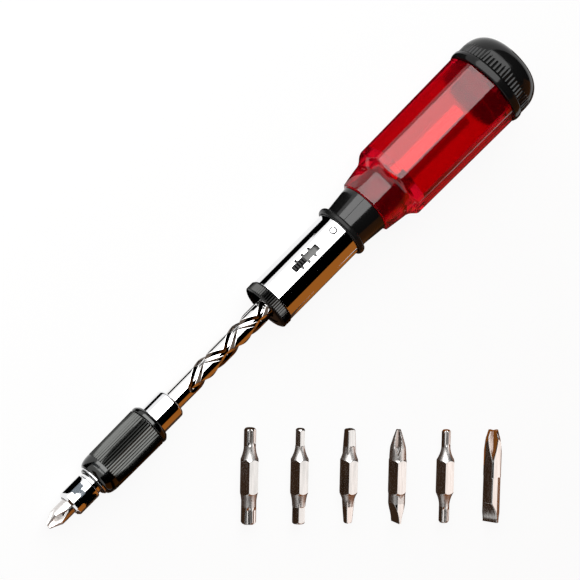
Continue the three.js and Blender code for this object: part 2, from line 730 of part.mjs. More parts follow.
// Pawl outline in the driver's cross-section, heel in the housing and tip between two teeth
const heelSeat = polar(nutR + pawlRoom / 2, 52);
function pawl(hand, front) {
  const heelR = pawlRoom * PAWL_HEEL_SHARE;
  const heelAngle = 52;
  const heel = [-60, -15, 30, 75, 120, 165].map((degrees) => {
    const [x, y] = polar(heelR, degrees + heelAngle);
    return [heelSeat[0] + x, heelSeat[1] + y];
  });
  const outline = [
    polar(nutRootR + 0.3, 21.5),
    polar(nutRootR + 0.85, 24.5),
    polar(nutR + pawlRoom / 3, 25),
    polar(nutR + pawlRoom * 0.62, 40),
    ...heel,
    polar(nutRootR + 0.75, 31),
  ];
  const ends = [front + PAWL_END_PLAY, front + nutLength - PAWL_END_PLAY];
  const lever = prism(outline, ...ends);
  if (hand > 0) return weld(lever);
  const lifted = lever.translate(-heelSeat[0], -heelSeat[1], 0).rotateZ(rad(PAWL_LIFT_DEG));
  return weld(lifted.translate(heelSeat[0], heelSeat[1], 0).scale(1, -1, 1));
}

function pawlSpring(hand, front) {
  const middle = front + nutLength / 2;
  const outer = innerSleeveR - 0.1;
  const inner = outer - PAWL_SPRING_THICKNESS;
  const half = PAWL_SPRING_WIDTH / 2;
  const leaf = sector(inner, outer, 34, 100, middle - half, middle + half);
  return weld(hand > 0 ? leaf : leaf.scale(1, -1, 1));
}

function ratchetHousing() {
  const from = rightNutFront;
  const to = spigotFront - FIT;
  const shell = sleeve(housingBoreR, innerSleeveR, from, to);
  const slideTop = tubeBoreR;
  const channel = box(
    slideTop,
    0,
    (from + to) / 2,
    2 * (slideTop - selectorFloor + FIT),
    SLIDE_WIDTH + 2 * FIT,
    to - from + 2,
  );
  const cuts = [channel];
  for (const [hand, front] of [[1, rightNutFront], [-1, leftNutFront]]) {
    const ends = [front + PAWL_END_PLAY - FIT, front + nutLength - PAWL_END_PLAY + FIT];
    const middle = front + nutLength / 2;
    const leafHalf = PAWL_SPRING_WIDTH / 2 + FIT;
    const window = sector(housingBoreR - 1, tubeBoreR, 18, 61, ...ends);
    const leafFloor = innerSleeveR - 0.1 - PAWL_SPRING_THICKNESS - FIT;
    const leafSlot = sector(leafFloor, tubeBoreR, 55, 103, middle - leafHalf, middle + leafHalf);
    cuts.push(...[window, leafSlot].map((tool) => (hand > 0 ? tool : tool.scale(1, -1, 1))));
  }
  return cut(shell, ...cuts);
}

// Selector: ribbed button in the slot of the tube, on a slide below it
const slideHalf = SLIDE_WIDTH / 2;
const selectorTop = Math.sqrt((tubeBoreR - SLIP) ** 2 - slideHalf ** 2);
const selectorFloor = selectorTop - SLIDE_THICKNESS;

function selectorSlide() {
  const front = rightNutFront + SLIP;
  const middle = front + SLIDE_LENGTH / 2;
  return box((selectorTop + selectorFloor) / 2, 0, middle, SLIDE_THICKNESS, SLIDE_WIDTH, SLIDE_LENGTH);
}

function selectorButton() {
  const front = slotFront + SLIP;
  const width = SLOT_WIDTH - 4 * SLIP;
  const foot = selectorTop + SLIP;
  const top = tubeR + BUTTON_PROUD;
  const outline = [[foot, front], [foot, front + BUTTON_LENGTH]];
  const pitch = BUTTON_LENGTH / BUTTON_RIBS;
  const ribDepth = BUTTON_PROUD * 0.8;
  for (let n = BUTTON_RIBS; n > 0; n--) {
    const rib = front + n * pitch;
    outline.push([top - ribDepth, rib], [top, rib - pitch * 0.25], [top, rib - pitch * 0.7]);
  }
  outline.push([top - ribDepth, front]);
  return weld(prism(outline, -width / 2, width / 2).rotateX(Math.PI / 2));
}

function selectorSlot() {
  const half = SLOT_WIDTH / 2;
  const end = slotFront + SLOT_LENGTH;
  const notches = [-1, 0, 1].map((n) => (slotFront + end) / 2 + n * SLOT_PITCH);
  const notched = notches.flatMap((z) => [
    [z - NOTCH_WIDTH / 2, half],
    [z, half + NOTCH_DEPTH],
    [z + NOTCH_WIDTH / 2, half],
  ]);
  const farSide = [[slotFront, half], ...notched, [end, half]];
  const nearSide = farSide.map(([z, y]) => [z, -y]).reverse();
  const shape = new THREE.Shape([...farSide, ...nearSide].map((p) => new THREE.Vector2(...p)));
  const options = { depth: TUBE_D, bevelEnabled: false };
  // The outline is drawn as [along, across] and stood up to cut outwards along +X
  return new THREE.ExtrudeGeometry(shape, options).applyMatrix4(new THREE.Matrix4().makeBasis(
    new THREE.Vector3(0, 0, 1),
    new THREE.Vector3(0, 1, 0),
    new THREE.Vector3(-1, 0, 0),
  )).translate(TUBE_D + tubeBoreR / 2, 0, 0);
}

// Barrel tube, its pin, bush and lock ring
const pinZ = tubeEnd - PIN_SETBACK;

function pinHole() {
  const hole = new THREE.CylinderGeometry(PIN_D / 2 + FIT, PIN_D / 2 + FIT, TUBE_D, SMALL_SIDES);
  return hole.rotateZ(Math.PI / 2).translate(tubeR + TUBE_D / 2 - PIN_DEPTH - FIT, 0, pinZ);
}

function barrelPin() {
  const foot = tubeR - PIN_DEPTH;
  const head = tubeR + PIN_PROUD;
  const pin = revolve([
    [0, foot],
    [PIN_D / 2, foot],
    [PIN_D / 2, head - PIN_PROUD],
    [PIN_D / 3, head],
    [0, head],
  ], SMALL_SIDES);
  return weld(pin.rotateY(Math.PI / 2).translate(0, 0, pinZ));
}

function barrelTube() {
  return cut(sleeve(tubeBoreR, tubeR, tubeFront, tubeEnd, 2 * SMALL_SIDES), selectorSlot(), pinHole());
}

function lockBallHole() {
  const holeR = LOCK_BALL_D / 2 + FIT;
  const hole = new THREE.CylinderGeometry(holeR, holeR, LOCK_RING_D, SMALL_SIDES / 2);
  return hole.rotateZ(Math.PI / 2).translate(LOCK_RING_D / 2, 0, lockBallZ);
}

const lockClipFront = ringFront + 3 * FIT;
const lockBallZ = lockClipFront + LOCK_CLIP_LENGTH + 2 * FIT + LOCK_BALL_D / 2;

function noseBush() {
  const clipR = bushNoseR - FIT;
  const body = revolve([
    [bushBoreR, ringFront + FIT],
    [bushNoseR, ringFront + FIT],
    [bushNoseR, lockClipFront - SLIP],
    [clipR, lockClipFront - SLIP],
    [clipR, lockClipFront + LOCK_CLIP_LENGTH + SLIP],
    [bushNoseR, lockClipFront + LOCK_CLIP_LENGTH + SLIP],
    [bushNoseR, tubeFront + FIT],
    [innerSleeveR, tubeFront + FIT],
    [innerSleeveR, bushEnd],
    [bushBoreR, bushEnd],
  ]);
  return cut(body, lockBallHole());
}

function lockRing() {
  const boreR = LOCK_RING_BORE / 2;
  const outerR = LOCK_RING_D / 2;
  const clipSeat = lockClipFront + LOCK_CLIP_LENGTH + FIT;
  const shell = revolve([
    [0, ringFront],
    [outerR - LOCK_RING_BEVEL, ringFront],
    [outerR, ringFront + LOCK_RING_BEVEL],
    [outerR, ringEnd],
    [0, ringEnd],
  ], KNURL_COUNT);
  const knurl = ridgeCutter(outerR, KNURL_DEPTH, KNURL_COUNT, ringFront + LOCK_RING_BEVEL, ringEnd + 1);
  const bore = rod(boreR, ringFront - 1, ringEnd + 1);
  const clipRoom = rod(boreR + 2 * FIT + SLIP, ringFront - 1, clipSeat);
  return cut(shell, knurl, bore, clipRoom);
}

function lockRingClip() {
  const inner = bushNoseR - FIT / 2;
  const outer = LOCK_RING_BORE / 2 + FIT;
  return sleeve(inner, outer, lockClipFront, lockClipFront + LOCK_CLIP_LENGTH, SMALL_SIDES);
}

function lockBall() {
  const seat = bushBoreR + FIT + LOCK_BALL_D / 2;
  const ball = new THREE.SphereGeometry(LOCK_BALL_D / 2, SMALL_SIDES / 2, SMALL_SIDES / 4);
  return weld(ball.translate(seat, 0, lockBallZ));
}

function rubberRing() {
  const inner = tubeR + FIT;
  const to = tubeEnd + FIT;
  const middle = to - RUBBER_RING_LENGTH / 2;
  const bulge = Array.from({ length: 7 }, (_, n) => {
    const turn = Math.PI * (n / 6 - 0.5);
    return [
      inner + RUBBER_RING_SECTION * (0.25 + 0.75 * Math.cos(turn)),
      middle + (RUBBER_RING_LENGTH / 2) * Math.sin(turn),
    ];
  });
  return weld(revolve([[inner, to - RUBBER_RING_LENGTH], ...bulge, [inner, to]]));
}

// Neck ferrule: spigot in the tube, taper in sight, tail in the grip
function neckFerrule() {
  const body = revolve([
    [springTubeSeatR, springTubeFront - FIT],
    [bushBoreR, springTubeFront - FIT],
    [bushBoreR, spigotFront],
    [innerSleeveR, spigotFront],
    [innerSleeveR, neckFront],
    [NECK_FRONT_D / 2, neckFront],
    [NECK_REAR_D / 2, gripFront - FIT],
    [neckTailR, gripFront - FIT],
    [neckTailR, gripFront + NECK_TAIL_LENGTH],
    [springTubeSeatR, gripFront + NECK_TAIL_LENGTH],
  ]);
  const slideEnd = rightNutFront + SLIP + SLIDE_LENGTH + 2 * SLOT_PITCH + FIT;
  const slideRoom = box(
    tubeBoreR,
    0,
    spigotFront,
    2 * (tubeBoreR - selectorFloor + FIT),
    SLIDE_WIDTH + 2 * FIT,
    2 * (slideEnd - spigotFront),
  );
  return cut(body, pinHole(), slideRoom);
}

// Spring drive behind the spindle
function springTube() {
  const lipR = SPRING_BOSS_D / 2;
  return revolve([
    [springTubeBoreR, springTubeFront],
    [springTubeR, springTubeFront],
    [springTubeR, springTubeEnd],
    [lipR, springTubeEnd],
    [lipR, springTubeEnd - SPRING_TUBE_LIP],
    [springTubeBoreR, springTubeEnd - SPRING_TUBE_LIP],
  ]);
}

function bossedDisc(face, thickness, boss) {
  const discR = springTubeBoreR - FIT;
  const bossR = SPRING_BOSS_D / 2;
  return revolve([
    [0, face],
    [discR, face],
    [discR, face + thickness],
    [bossR, face + thickness],
    [bossR - FIT, face + thickness + boss],
    [0, face + thickness + boss],
  ], SMALL_SIDES);
}

function springFollower() {
  return weld(bossedDisc(followerFront, FOLLOWER_LENGTH, SPRING_BOSS_LENGTH));
}

function springSeat() {
  return weld(bossedDisc(-seatFront - SEAT_LENGTH, SEAT_LENGTH, SPRING_BOSS_LENGTH).rotateX(Math.PI));
}

function returnSpring() {
  const length = springEnd - springFront;
  return coilSpring('return_spring', springR, SPRING_WIRE, length, SPRING_CURLS).translate(0, 0, springFront);
}

// Eight-sided grip with a narrow collar, a curved shoulder and a hollow for spare bits
function gripHandle() {
  const frontR = GRIP_COLLAR_FRONT_D / 2;
  const rearR = GRIP_COLLAR_REAR_D / 2;
  const flatR = GRIP_FRONT_FLATS / 2;
  const cove = [0.2, 0.4, 0.6, 0.8, 1].map((share) => {
    const turn = rad(GRIP_COVE_DEG);
    const out = (1 - Math.cos(turn * share)) / (1 - Math.cos(turn));
    const along = Math.sin(turn * share) / Math.sin(turn);
    return [THREE.MathUtils.lerp(rearR, flatR, out), gripCollarEnd + GRIP_SHOULDER_LENGTH * along];
  });
  const cornerR = flatR * GRIP_CORNER_RATIO;
  const round = revolve([
    [0, gripFront],
    [frontR, gripFront],
    [rearR, gripCollarEnd],
    ...cove,
    [cornerR, gripFlatFront + (cornerR - flatR)],
    [(GRIP_REAR_FLATS / 2) * GRIP_CORNER_RATIO, gripEnd],
    [0, gripEnd],
  ], 2 * ROUND_SIDES);
  const archR = THREE.MathUtils.lerp(frontR, rearR, GRIP_ARCH_LENGTH / GRIP_COLLAR_LENGTH);
  const flare = (2 * archR - GRIP_COLLAR_FRONT_FLATS) / GRIP_ARCH_LENGTH;
  const faceted = loft([
    { z: gripFront, flats: GRIP_COLLAR_FRONT_FLATS },
    { z: gripCollarEnd, flats: GRIP_COLLAR_FRONT_FLATS + flare * GRIP_COLLAR_LENGTH },
    { z: gripCollarEnd + FIT, flats: GRIP_FRONT_FLATS },
    { z: gripFlatFront, flats: GRIP_FRONT_FLATS },
    { z: gripEnd, flats: GRIP_REAR_FLATS },
  ].map(({ z, flats }) => ({ z, points: regular(GRIP_SIDES, flats) })));
  const body = keepInside(faceted, round);
  const tailRoom = rod(neckTailR + FIT, gripFront - 1, gripFront + NECK_TAIL_LENGTH + FIT, ROUND_SIDES);
  const tubeRoom = rod(springTubeSeatR, gripFront, gripEnd, ROUND_SIDES);
  const storeOutline = regular(GRIP_SIDES, STORE_FLATS);
  const store = loft([storeFloor, gripEnd + 1].map((z) => ({ z, points: storeOutline })));
  const gasketRoom = rod(gasketR + FIT, gripEnd - GASKET_LENGTH - FIT, gripEnd + 1, ROUND_SIDES);
  return cut(body, tailRoom, tubeRoom, store, gasketRoom);
}

function capGasket() {
  return sleeve(skirtR + FIT / 2, gasketR, gripEnd - GASKET_LENGTH, gripEnd);
}

function endCap() {
  const rimR = CAP_RIM_D / 2;
  const bandR = CAP_BAND_D / 2;
  const lip = 1;
  const domeSteps = 5;
  const dome = Array.from({ length: domeSteps + 1 }, (_, n) => {
    const turn = (Math.PI / 2) * (n / domeSteps);
    const flatR = CAP_FLAT_D / 2;
    return [flatR + (bandR - flatR) * Math.cos(turn), capDomeFront + CAP_DOME_LENGTH * Math.sin(turn)];
  });
  const skirtFront = capFront - CAP_SKIRT_LENGTH;
  const cupR = skirtR - CAP_SKIRT_WALL;
  const cupFloor = skirtFront + CAP_CUP_DEPTH;
  const cup = revolve([
    [0, skirtFront - 1],
    [cupR, skirtFront - 1],
    [cupR, cupFloor - (cupR - CAP_CUP_FLOOR_D / 2)],
    [CAP_CUP_FLOOR_D / 2, cupFloor],
    [0, cupFloor],
  ]);
  const shell = revolve([
    [0, skirtFront],
    [skirtR, skirtFront],
    [skirtR, capFront],
    [rimR - lip, capFront],
    [rimR, capFront + lip],
    [rimR, capBandFront - lip],
    [bandR, capBandFront],
    ...dome,
    [0, capEnd],
  ], CAP_RIBS);
  return cut(shell, cup, ridgeCutter(bandR, CAP_RIB_DEPTH, CAP_RIBS, capBandFront, capDomeFront));
}

// Looks of the bare model
const chrome = { color: 0xd7dade, roughness: 0.12, metalness: 1 };
const steel = { color: 0xa9a6a2, roughness: 0.35, metalness: 1 };
const spring = { color: 0x8d9094, roughness: 0.4, metalness: 1 };
const brass = { color: 0xb4904a, roughness: 0.35, metalness: 1 };
const blackMetal = { color: 0x1d1d1f, roughness: 0.45, metalness: 0.6 };
const blackPlastic = { color: 0x161617, roughness: 0.3, metalness: 0 };
const rubber = { color: 0x121212, roughness: 0.7, metalness: 0 };
const redPlastic = { color: 0xa80f1c, roughness: 0.15, metalness: 0 };

function piece(name, geometry, look) {
  const material = new THREE.MeshStandardMaterial(look);
  const mesh = new THREE.Mesh(geometry, material);
  mesh.name = name;
  return mesh;
}

// Driver laid on the table: it rests on its collar and on the grip or the cap, whichever reaches lower
const driver = new THREE.Group();
driver.add(
  piece('driver_bit', doubleEndedBit(crossEnd(1.6, BIT_NECK_D), bladeEnd(5.6, 1)), steel),
  piece('bit_holder', bitHolder(), chrome),
  piece('holder_magnet', weld(holderMagnet()), spring),
  piece('holder_clip', weld(holderClip()), spring),
  piece('front_clip', weld(frontClip()), chrome),
  piece('chuck_collar', chuckCollar(), blackMetal),
  piece('collar_end_ring', weld(collarEndRing()), blackMetal),
  piece('chuck_body', chuckBody(), chrome),
  piece('chuck_spring', chuckSpring(), spring),
  piece('spiral_spindle', spiralSpindle(), chrome),
  piece('spindle_stop', weld(spindleStop()), steel),
  piece('lock_ring', lockRing(), blackMetal),
  piece('lock_ring_clip', weld(lockRingClip()), spring),
  piece('lock_ball', lockBall(), steel),
  piece('nose_bush', noseBush(), steel),
  piece('barrel_tube', barrelTube(), chrome),
  piece('barrel_pin', barrelPin(), chrome),
  piece('selector_slide', weld(selectorSlide()), steel),
  piece('selector_button', selectorButton(), blackPlastic),
  piece('right_drive_nut', driveNut(1, rightNutFront), brass),
  piece('left_drive_nut', driveNut(-1, leftNutFront), brass),
  piece('ratchet_housing', ratchetHousing(), steel),
  piece('right_pawl', pawl(1, rightNutFront), steel),
  piece('left_pawl', pawl(-1, leftNutFront), steel),
  piece('right_pawl_spring', pawlSpring(1, rightNutFront), spring),
  piece('left_pawl_spring', pawlSpring(-1, leftNutFront), spring),
  piece('rubber_ring', rubberRing(), rubber),
  piece('neck_ferrule', neckFerrule(), blackPlastic),
  piece('spring_tube', weld(springTube()), steel),
  piece('spring_follower', springFollower(), steel),
  piece('return_spring', returnSpring(), spring),
  piece('spring_seat', springSeat(), blackPlastic),
  piece('grip_handle', gripHandle(), redPlastic),
  piece('cap_gasket', weld(capGasket()), rubber),
  piece('end_cap', endCap(), blackPlastic),
);

const restFrontZ = collarFront + COLLAR_NOSE_LENGTH;
const restFrontR = collarRadius(restFrontZ);
const restRears = [[gripFlatFront, GRIP_FRONT_FLATS / 2], [capBandFront, CAP_RIM_D / 2]];
const pitches = restRears.map(([z, r]) => Math.atan2(r - restFrontR, z - restFrontZ));
const pitch = Math.max(...pitches);
const tipHeight = restFrontR * Math.cos(pitch) - restFrontZ * Math.sin(pitch);
const selectorWay = new THREE.Vector3(0, Math.sin(rad(ROLL_DEG)), Math.cos(rad(ROLL_DEG)));
selectorWay.applyAxisAngle(new THREE.Vector3(0, 1, 0), -pitch);
const driverWay = new THREE.Vector3(Math.cos(pitch), 0, Math.sin(pitch));
const across = new THREE.Vector3().crossVectors(driverWay, selectorWay);
driver.quaternion.setFromRotationMatrix(new THREE.Matrix4().makeBasis(selectorWay, across, driverWay));
driver.position.set(0, 0, tipHeight);

// Row of loose bits, each lying on one of its flats
const looseBits = [
  ['lobed_bit_large', lobedEnd(4.4), lobedEnd(5.5), BIT_NECK_D],
  ['hex_key_bit', sixSidedEnd(3.2), sixSidedEnd(4.5), BIT_NECK_D],
  ['square_bit', squareEnd(3.2, 4.3), squareEnd(2.4, 4.3), BIT_NECK_D],
  ['cross_and_blade_bit', crossEnd(1.4, BIT_NECK_D), bladeEnd(5.6, 0.9), BIT_NECK_D],
  ['lobed_bit_small', lobedEnd(3.3), lobedEnd(3.9), BIT_NECK_D],
  ['heavy_cross_and_blade_bit', crossEnd(2.6, HEX_FLATS), quarterTurned(bladeEnd(6, 1.2)), HEX_FLATS],
];
const row = new THREE.Group();
looseBits.forEach(([name, front, rear, neckD], n) => {
  const bit = piece(name, doubleEndedBit(front, rear, neckD), steel);
  const lying = new THREE.Matrix4().makeRotationY(Math.PI / 2);
  const headed = new THREE.Matrix4().makeRotationZ(rad(ROW_BIT_HEADING_DEG) + Math.PI);
  const centred = new THREE.Matrix4().makeTranslation(0, 0, -BIT_LENGTH / 2);
  bit.applyMatrix4(headed.multiply(lying).multiply(centred));
  const [x, y] = polar(n * ROW_SPACING, ROW_HEADING_DEG);
  bit.position.add(new THREE.Vector3(ROW_FIRST_X + x, ROW_FIRST_Y + y, HEX_FLATS / 2));
  row.add(bit);
});

// Origin on the table, below the middle of everything
const tool = new THREE.Group();
tool.add(driver, row);
tool.updateMatrixWorld(true);
const extent = new THREE.Box3().setFromObject(tool, true);
const centre = extent.getCenter(new THREE.Vector3());
tool.position.set(-centre.x, -centre.y, -extent.min.z);
tool.updateMatrixWorld(true);

export default tool;
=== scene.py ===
import json
import math

import bmesh
import bpy
import numpy as np
from mathutils import Matrix, Vector


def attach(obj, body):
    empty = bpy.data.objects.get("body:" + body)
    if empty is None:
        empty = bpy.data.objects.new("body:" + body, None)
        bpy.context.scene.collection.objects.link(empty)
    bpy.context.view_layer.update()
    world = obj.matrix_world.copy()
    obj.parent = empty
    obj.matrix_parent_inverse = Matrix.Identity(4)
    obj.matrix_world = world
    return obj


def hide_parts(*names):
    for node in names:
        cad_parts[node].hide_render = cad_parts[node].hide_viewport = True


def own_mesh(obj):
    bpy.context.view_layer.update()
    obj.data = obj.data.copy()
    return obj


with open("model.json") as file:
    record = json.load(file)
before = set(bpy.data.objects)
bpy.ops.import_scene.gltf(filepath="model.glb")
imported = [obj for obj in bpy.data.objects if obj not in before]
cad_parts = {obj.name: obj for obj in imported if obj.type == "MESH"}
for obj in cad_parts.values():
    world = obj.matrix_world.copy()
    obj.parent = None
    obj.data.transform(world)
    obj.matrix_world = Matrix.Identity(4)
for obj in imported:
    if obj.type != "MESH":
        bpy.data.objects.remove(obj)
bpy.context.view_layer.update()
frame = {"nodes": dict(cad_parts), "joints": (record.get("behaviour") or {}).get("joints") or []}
nodes = frame["nodes"]
joints = {joint["name"]: joint for joint in frame["joints"]}

# Sizes in millimetres; stations are measured along the driver from the tip of its bit
MM = 0.001
HEX_FLATS = 6.35
BIT_LENGTH = 35.0
BIT_HEX_LENGTH = 13.0
BIT_HEX_FRONT = (BIT_LENGTH - BIT_HEX_LENGTH) / 2
BIT_HEX_END = BIT_LENGTH - BIT_HEX_FRONT
BIT_NECK_R = 3.1
BIT_FLARE_FRONT = 6.2  # from each tip to where the end widens towards the hex
BIT_FLARE_CURVE = 1.9
BIT_SHOULDER_SLOPE = 0.75  # from the neck out to the corners of the hex
BLADE_FLARE_END = 27.5
HEAVY_BIT_R = 3.6
BIT_HEADING_DEG = 50.0  # of each loose bit on the table

HOLDER_FRONT = 10.4
HOLDER_HEAD_END = 20.5
HOLDER_END = 44.0
HOLDER_R = 5.05
HOLDER_SHANK_R = 4.3
HOLDER_MOUTH_R = 3.85
HOLDER_MOUTH_END = 24.0
HOLDER_WELL_R = 3.2
CLIP_FRONT = 22.25
CLIP_END = 22.85
CLIP_R = 6.0
CLIP_BORE_R = 5.35

RETURN_SPRING = (148.22, 204.28)  # front and rear stations
RETURN_SPRING_R = 3.5
RETURN_SPRING_WIRE_R = 0.45
CHUCK_SPRING = (33.31, 47.28)
CHUCK_SPRING_R = 6.12
CHUCK_SPRING_WIRE_R = 0.3

CHUCK_FRONT = 21.8
CHUCK_END = 61.7
CHUCK_NOSE_R = 5.45
CHUCK_TAIL_R = 5.85
CHUCK_TAPER = (40.0, 47.0)  # from the nose's radius to the tail's
CHUCK_MOUTH_R = 4.6
CHUCK_MOUTH_END = 45.5
CHUCK_SOCKET_FRONT = 46.0  # of the bore that takes the spindle
CHUCK_SOCKET_GAP = 0.05
CHUCK_ANGLES = 160
CHUCK_SHADE_ROWS = 12  # of faces at its nose, inside the collar, painted dark oxide as a painted shadow in the gap in front of the front clip
COLLAR_FRONT = 23.0
COLLAR_NOSE_END = 27.4
COLLAR_KNURL_END = 49.1
COLLAR_RING_FRONT = 49.4
COLLAR_END = 51.9
COLLAR_FRONT_R = 7.6
COLLAR_REAR_R = 7.9
COLLAR_RIDGES = 48
COLLAR_ANGLES = COLLAR_RIDGES * 12
COLLAR_KNURL_DEPTH = 0.34
COLLAR_NOSE_DROP = 1.45
COLLAR_NOSE_ROWS = 16  # of faces in front of the knurl
COLLAR_MOUTH_R = 5.8
COLLAR_LAND_R = 5.75
COLLAR_LAND_END = 33.0
COLLAR_BORE_R = 6.75
COLLAR_RING_BORE_R = 6.15

SPINDLE_R = 3.75
SPINDLE_FRONT = 46.2
SPINDLE_SHOULDER = 142.8
SPINDLE_END = 145.4
SPINDLE_TAIL_R = 2.9
SPINDLE_ANGLES = 240
SPINDLE_STEP = 0.16
SPIRAL_START = 70.0
SPIRAL_LEAD = 34.0
SPIRAL_PHASE_DEG = 46.5
GROOVE_HALF = 1.9
GROOVE_FLOOR_HALF = 0.7
GROOVE_DEPTH = 1.15
GROOVE_LEAD_IN = 2.4

RING_FRONT = 108.3
RING_END = 112.2
RING_R = 9.5
RING_BORE_R = 6.55
RING_RIDGES = 64
RING_KNURL_DEPTH = 0.4

TUBE_FRONT = 112.5
TUBE_END = 148.8
TUBE_R = 9.15
TUBE_BORE_R = 8.35
SLOT_FRONT = 123.5
SLOT_LENGTH = 12.4
SLOT_HALF = 1.35
SLOT_PITCH = 3.2
NOTCH_HALF = 0.6
NOTCH_TIP_HALF = 0.42
NOTCH_DEPTH = 1.0
PIN_Z = 143.8
PIN_R = 1.25
PIN_FOOT_R = 6.95
PIN_HEAD_R = 9.45
PIN_HEAD_DROP = 0.3
PIN_GAP = 0.26
PIN_HOLE = (5.0, 12.0)  # from the axis outwards

RUBBER_MID = 147.95
RUBBER_MID_R = 9.86
RUBBER_HALF_LENGTH = 1.12
RUBBER_HALF_DEPTH = 0.64

NECK_FRONT = 149.1
NECK_END = 159.9
NECK_FRONT_R = 8.7
NECK_REAR_R = 9.8
NECK_SPIGOT_R = 8.05
NECK_SPIGOT_FRONT = 141.8
NECK_TAIL_R = 8.9
NECK_TAIL_END = 173.7
NECK_BORE_R = 5.55
NECK_ANGLES = 360
NECK_SEAM_DEPTH = 0.09
NECK_SEAM_HALF = 0.02  # in radians round the axis

GRIP_SIDES = 8
GRIP_ANGLES = GRIP_SIDES * 36
GRIP_OUTER_ROWS = 70  # of faces
GRIP_INNER_ROWS = 8
GRIP_FRONT = 160.2
GRIP_COLLAR_END = 167.9
GRIP_FLAT_FRONT = 172.5
GRIP_END = 221.3
GRIP_COLLAR_FLATS_R = 10.35
GRIP_COLLAR_FRONT_R = 11.0
GRIP_COLLAR_REAR_R = 12.05
GRIP_ARCH_LENGTH = 7.1
GRIP_ARCH_SHARE = 0.92
GRIP_COVE_END = 172.0
GRIP_COVE_CURVE = 1.9
GRIP_SHOULDER_DROP = 0.75
GRIP_SHOULDER_LENGTH = 1.3
GRIP_FRONT_FLATS_R = 14.1
GRIP_REAR_FLATS_R = 14.75
GRIP_CORNER_RATIO = 1.058
GRIP_TAIL_ROOM_R = 9.2
GRIP_TAIL_ROOM_END = 174.0
GRIP_WEB_END = 176.3
GRIP_STORE_R = 12.4
GRIP_GASKET_R = 13.3
GRIP_GASKET_FRONT = 219.5

CAP_SKIRT_FRONT = 215.1
CAP_FRONT = 221.6
CAP_BAND_FRONT = 224.9
CAP_DOME_FRONT = 228.4
CAP_END = 237.1
CAP_SKIRT_R = 12.05
CAP_CUP_R = 10.55
CAP_CUP_FLOOR = 233.6
CAP_CUP_FLOOR_R = 7.5
CAP_CUP_TAPER = 3.05
CAP_RIM_R = 16.25
CAP_BAND_R = 15.75
CAP_FLAT_R = 7.5
CAP_RIBS = 60
CAP_RIB_DEPTH = 0.42


# Frames: the driver's own axes and those of each loose bit
def mesh_points(node):
    return np.array([v.co for v in nodes[node].data.vertices])


def driver_frame():
    axis = Vector(joints["push_stroke"]["axis"]).normalized()
    aside = Vector((0, 1, 0))
    selector = (axis.cross(aside) + aside).normalized()
    third = axis.cross(selector)
    start = Vector(joints["lock_turn"]["pos_m"])
    reach = (mesh_points("driver_bit") - np.array(start)) @ np.array(axis)
    tip = start + axis * float(reach.min())
    turn = Matrix((selector, third, axis)).transposed()
    return Matrix.LocRotScale(tip, turn, Vector((MM,) * 3))


def bit_frame(node):
    heading = math.radians(BIT_HEADING_DEG)
    along = Vector((-math.cos(heading), -math.sin(heading), 0))
    side = Vector((math.sin(heading), -math.cos(heading), 0))
    points = mesh_points(node)
    front = float((points @ np.array(along)).min())
    across = points @ np.array(side)
    middle = float(across.min() + across.max()) / 2
    origin = along * front + side * middle + Vector((0, 0, HEX_FLATS / 2 * MM))
    turn = Matrix((Vector((0, 0, -1)), side, along)).transposed()
    return Matrix.LocRotScale(origin, turn, Vector((MM,) * 3))


DRIVER = driver_frame()
AXIS = DRIVER.col[2].to_3d().normalized()
TIP = DRIVER.translation.copy()
PIN_FRAME = DRIVER @ Matrix.Translation((0, 0, PIN_Z)) @ Matrix.Rotation(math.pi / 2, 4, "Y")


def on_axis(station):
    return TIP + AXIS * (station * MM)


# Meshes made of rings round an axis
def turns(count):
    return np.linspace(0, 2 * math.pi, count, endpoint=False)


SHARP_DEG = 32.0


def make_piece(name, verts, faces, matrix, sharp_deg=SHARP_DEG):
    mesh = bpy.data.meshes.new(name)
    mesh.from_pydata([matrix @ Vector(v) for v in verts], [], faces)
    work = bmesh.new()
    work.from_mesh(mesh)
    bmesh.ops.recalc_face_normals(work, faces=work.faces)
    work.to_mesh(mesh)
    work.free()
    mesh.shade_smooth()
    mesh.set_sharp_from_angle(angle=math.radians(sharp_deg))
    piece = bpy.data.objects.new(name, mesh)
    bpy.context.scene.collection.objects.link(piece)
    return piece


def skin(name, rings, count, matrix=DRIVER, closed=False, sharp_deg=SHARP_DEG):
    """Rings are (station, radius or radii); a closed skin joins its last ring to its first."""
    angles = turns(count)
    verts = []
    for station, radius in rings:
        radii = np.broadcast_to(radius, count)
        verts += list(zip(radii * np.cos(angles), radii * np.sin(angles), [station] * count))
    faces = []
    last = len(rings) if closed else len(rings) - 1
    for row in range(last):
        here, there = row * count, (row + 1) % len(rings) * count
        for n in range(count):
            after = (n + 1) % count
            faces.append((here + n, here + after, there + after, there + n))
    if not closed:
        for row, station in ((0, rings[0][0]), (len(rings) - 1, rings[-1][0])):
            centre = len(verts)
            verts.append((0, 0, station))
            faces += [(centre, row * count + n, row * count + (n + 1) % count) for n in range(count)]
    return make_piece(name, verts, faces, matrix, sharp_deg)


def rounded(corners, steps=5):
    """Profile of (radius, station, rounding) corners with each corner turned into a small arc."""
    count = len(corners)
    points = []
    for n, (radius, station, rounding) in enumerate(corners):
        here = Vector((radius, station))
        if not rounding:
            points.append((radius, station))
            continue
        before = Vector(corners[n - 1][:2]) - here
        after = Vector(corners[(n + 1) % count][:2]) - here
        cut = min(rounding, before.length * 0.45, after.length * 0.45)
        start = here + before.normalized() * cut
        end = here + after.normalized() * cut
        for k in range(steps + 1):
            t = k / steps
            point = start * (1 - t) ** 2 + here * (2 * t * (1 - t)) + end * t ** 2
            points.append((point.x, point.y))
    return points


def revolve(name, corners, count=128):
    rings = [(station, radius) for radius, station in rounded(corners)]
    return skin(name, rings, count, closed=True)


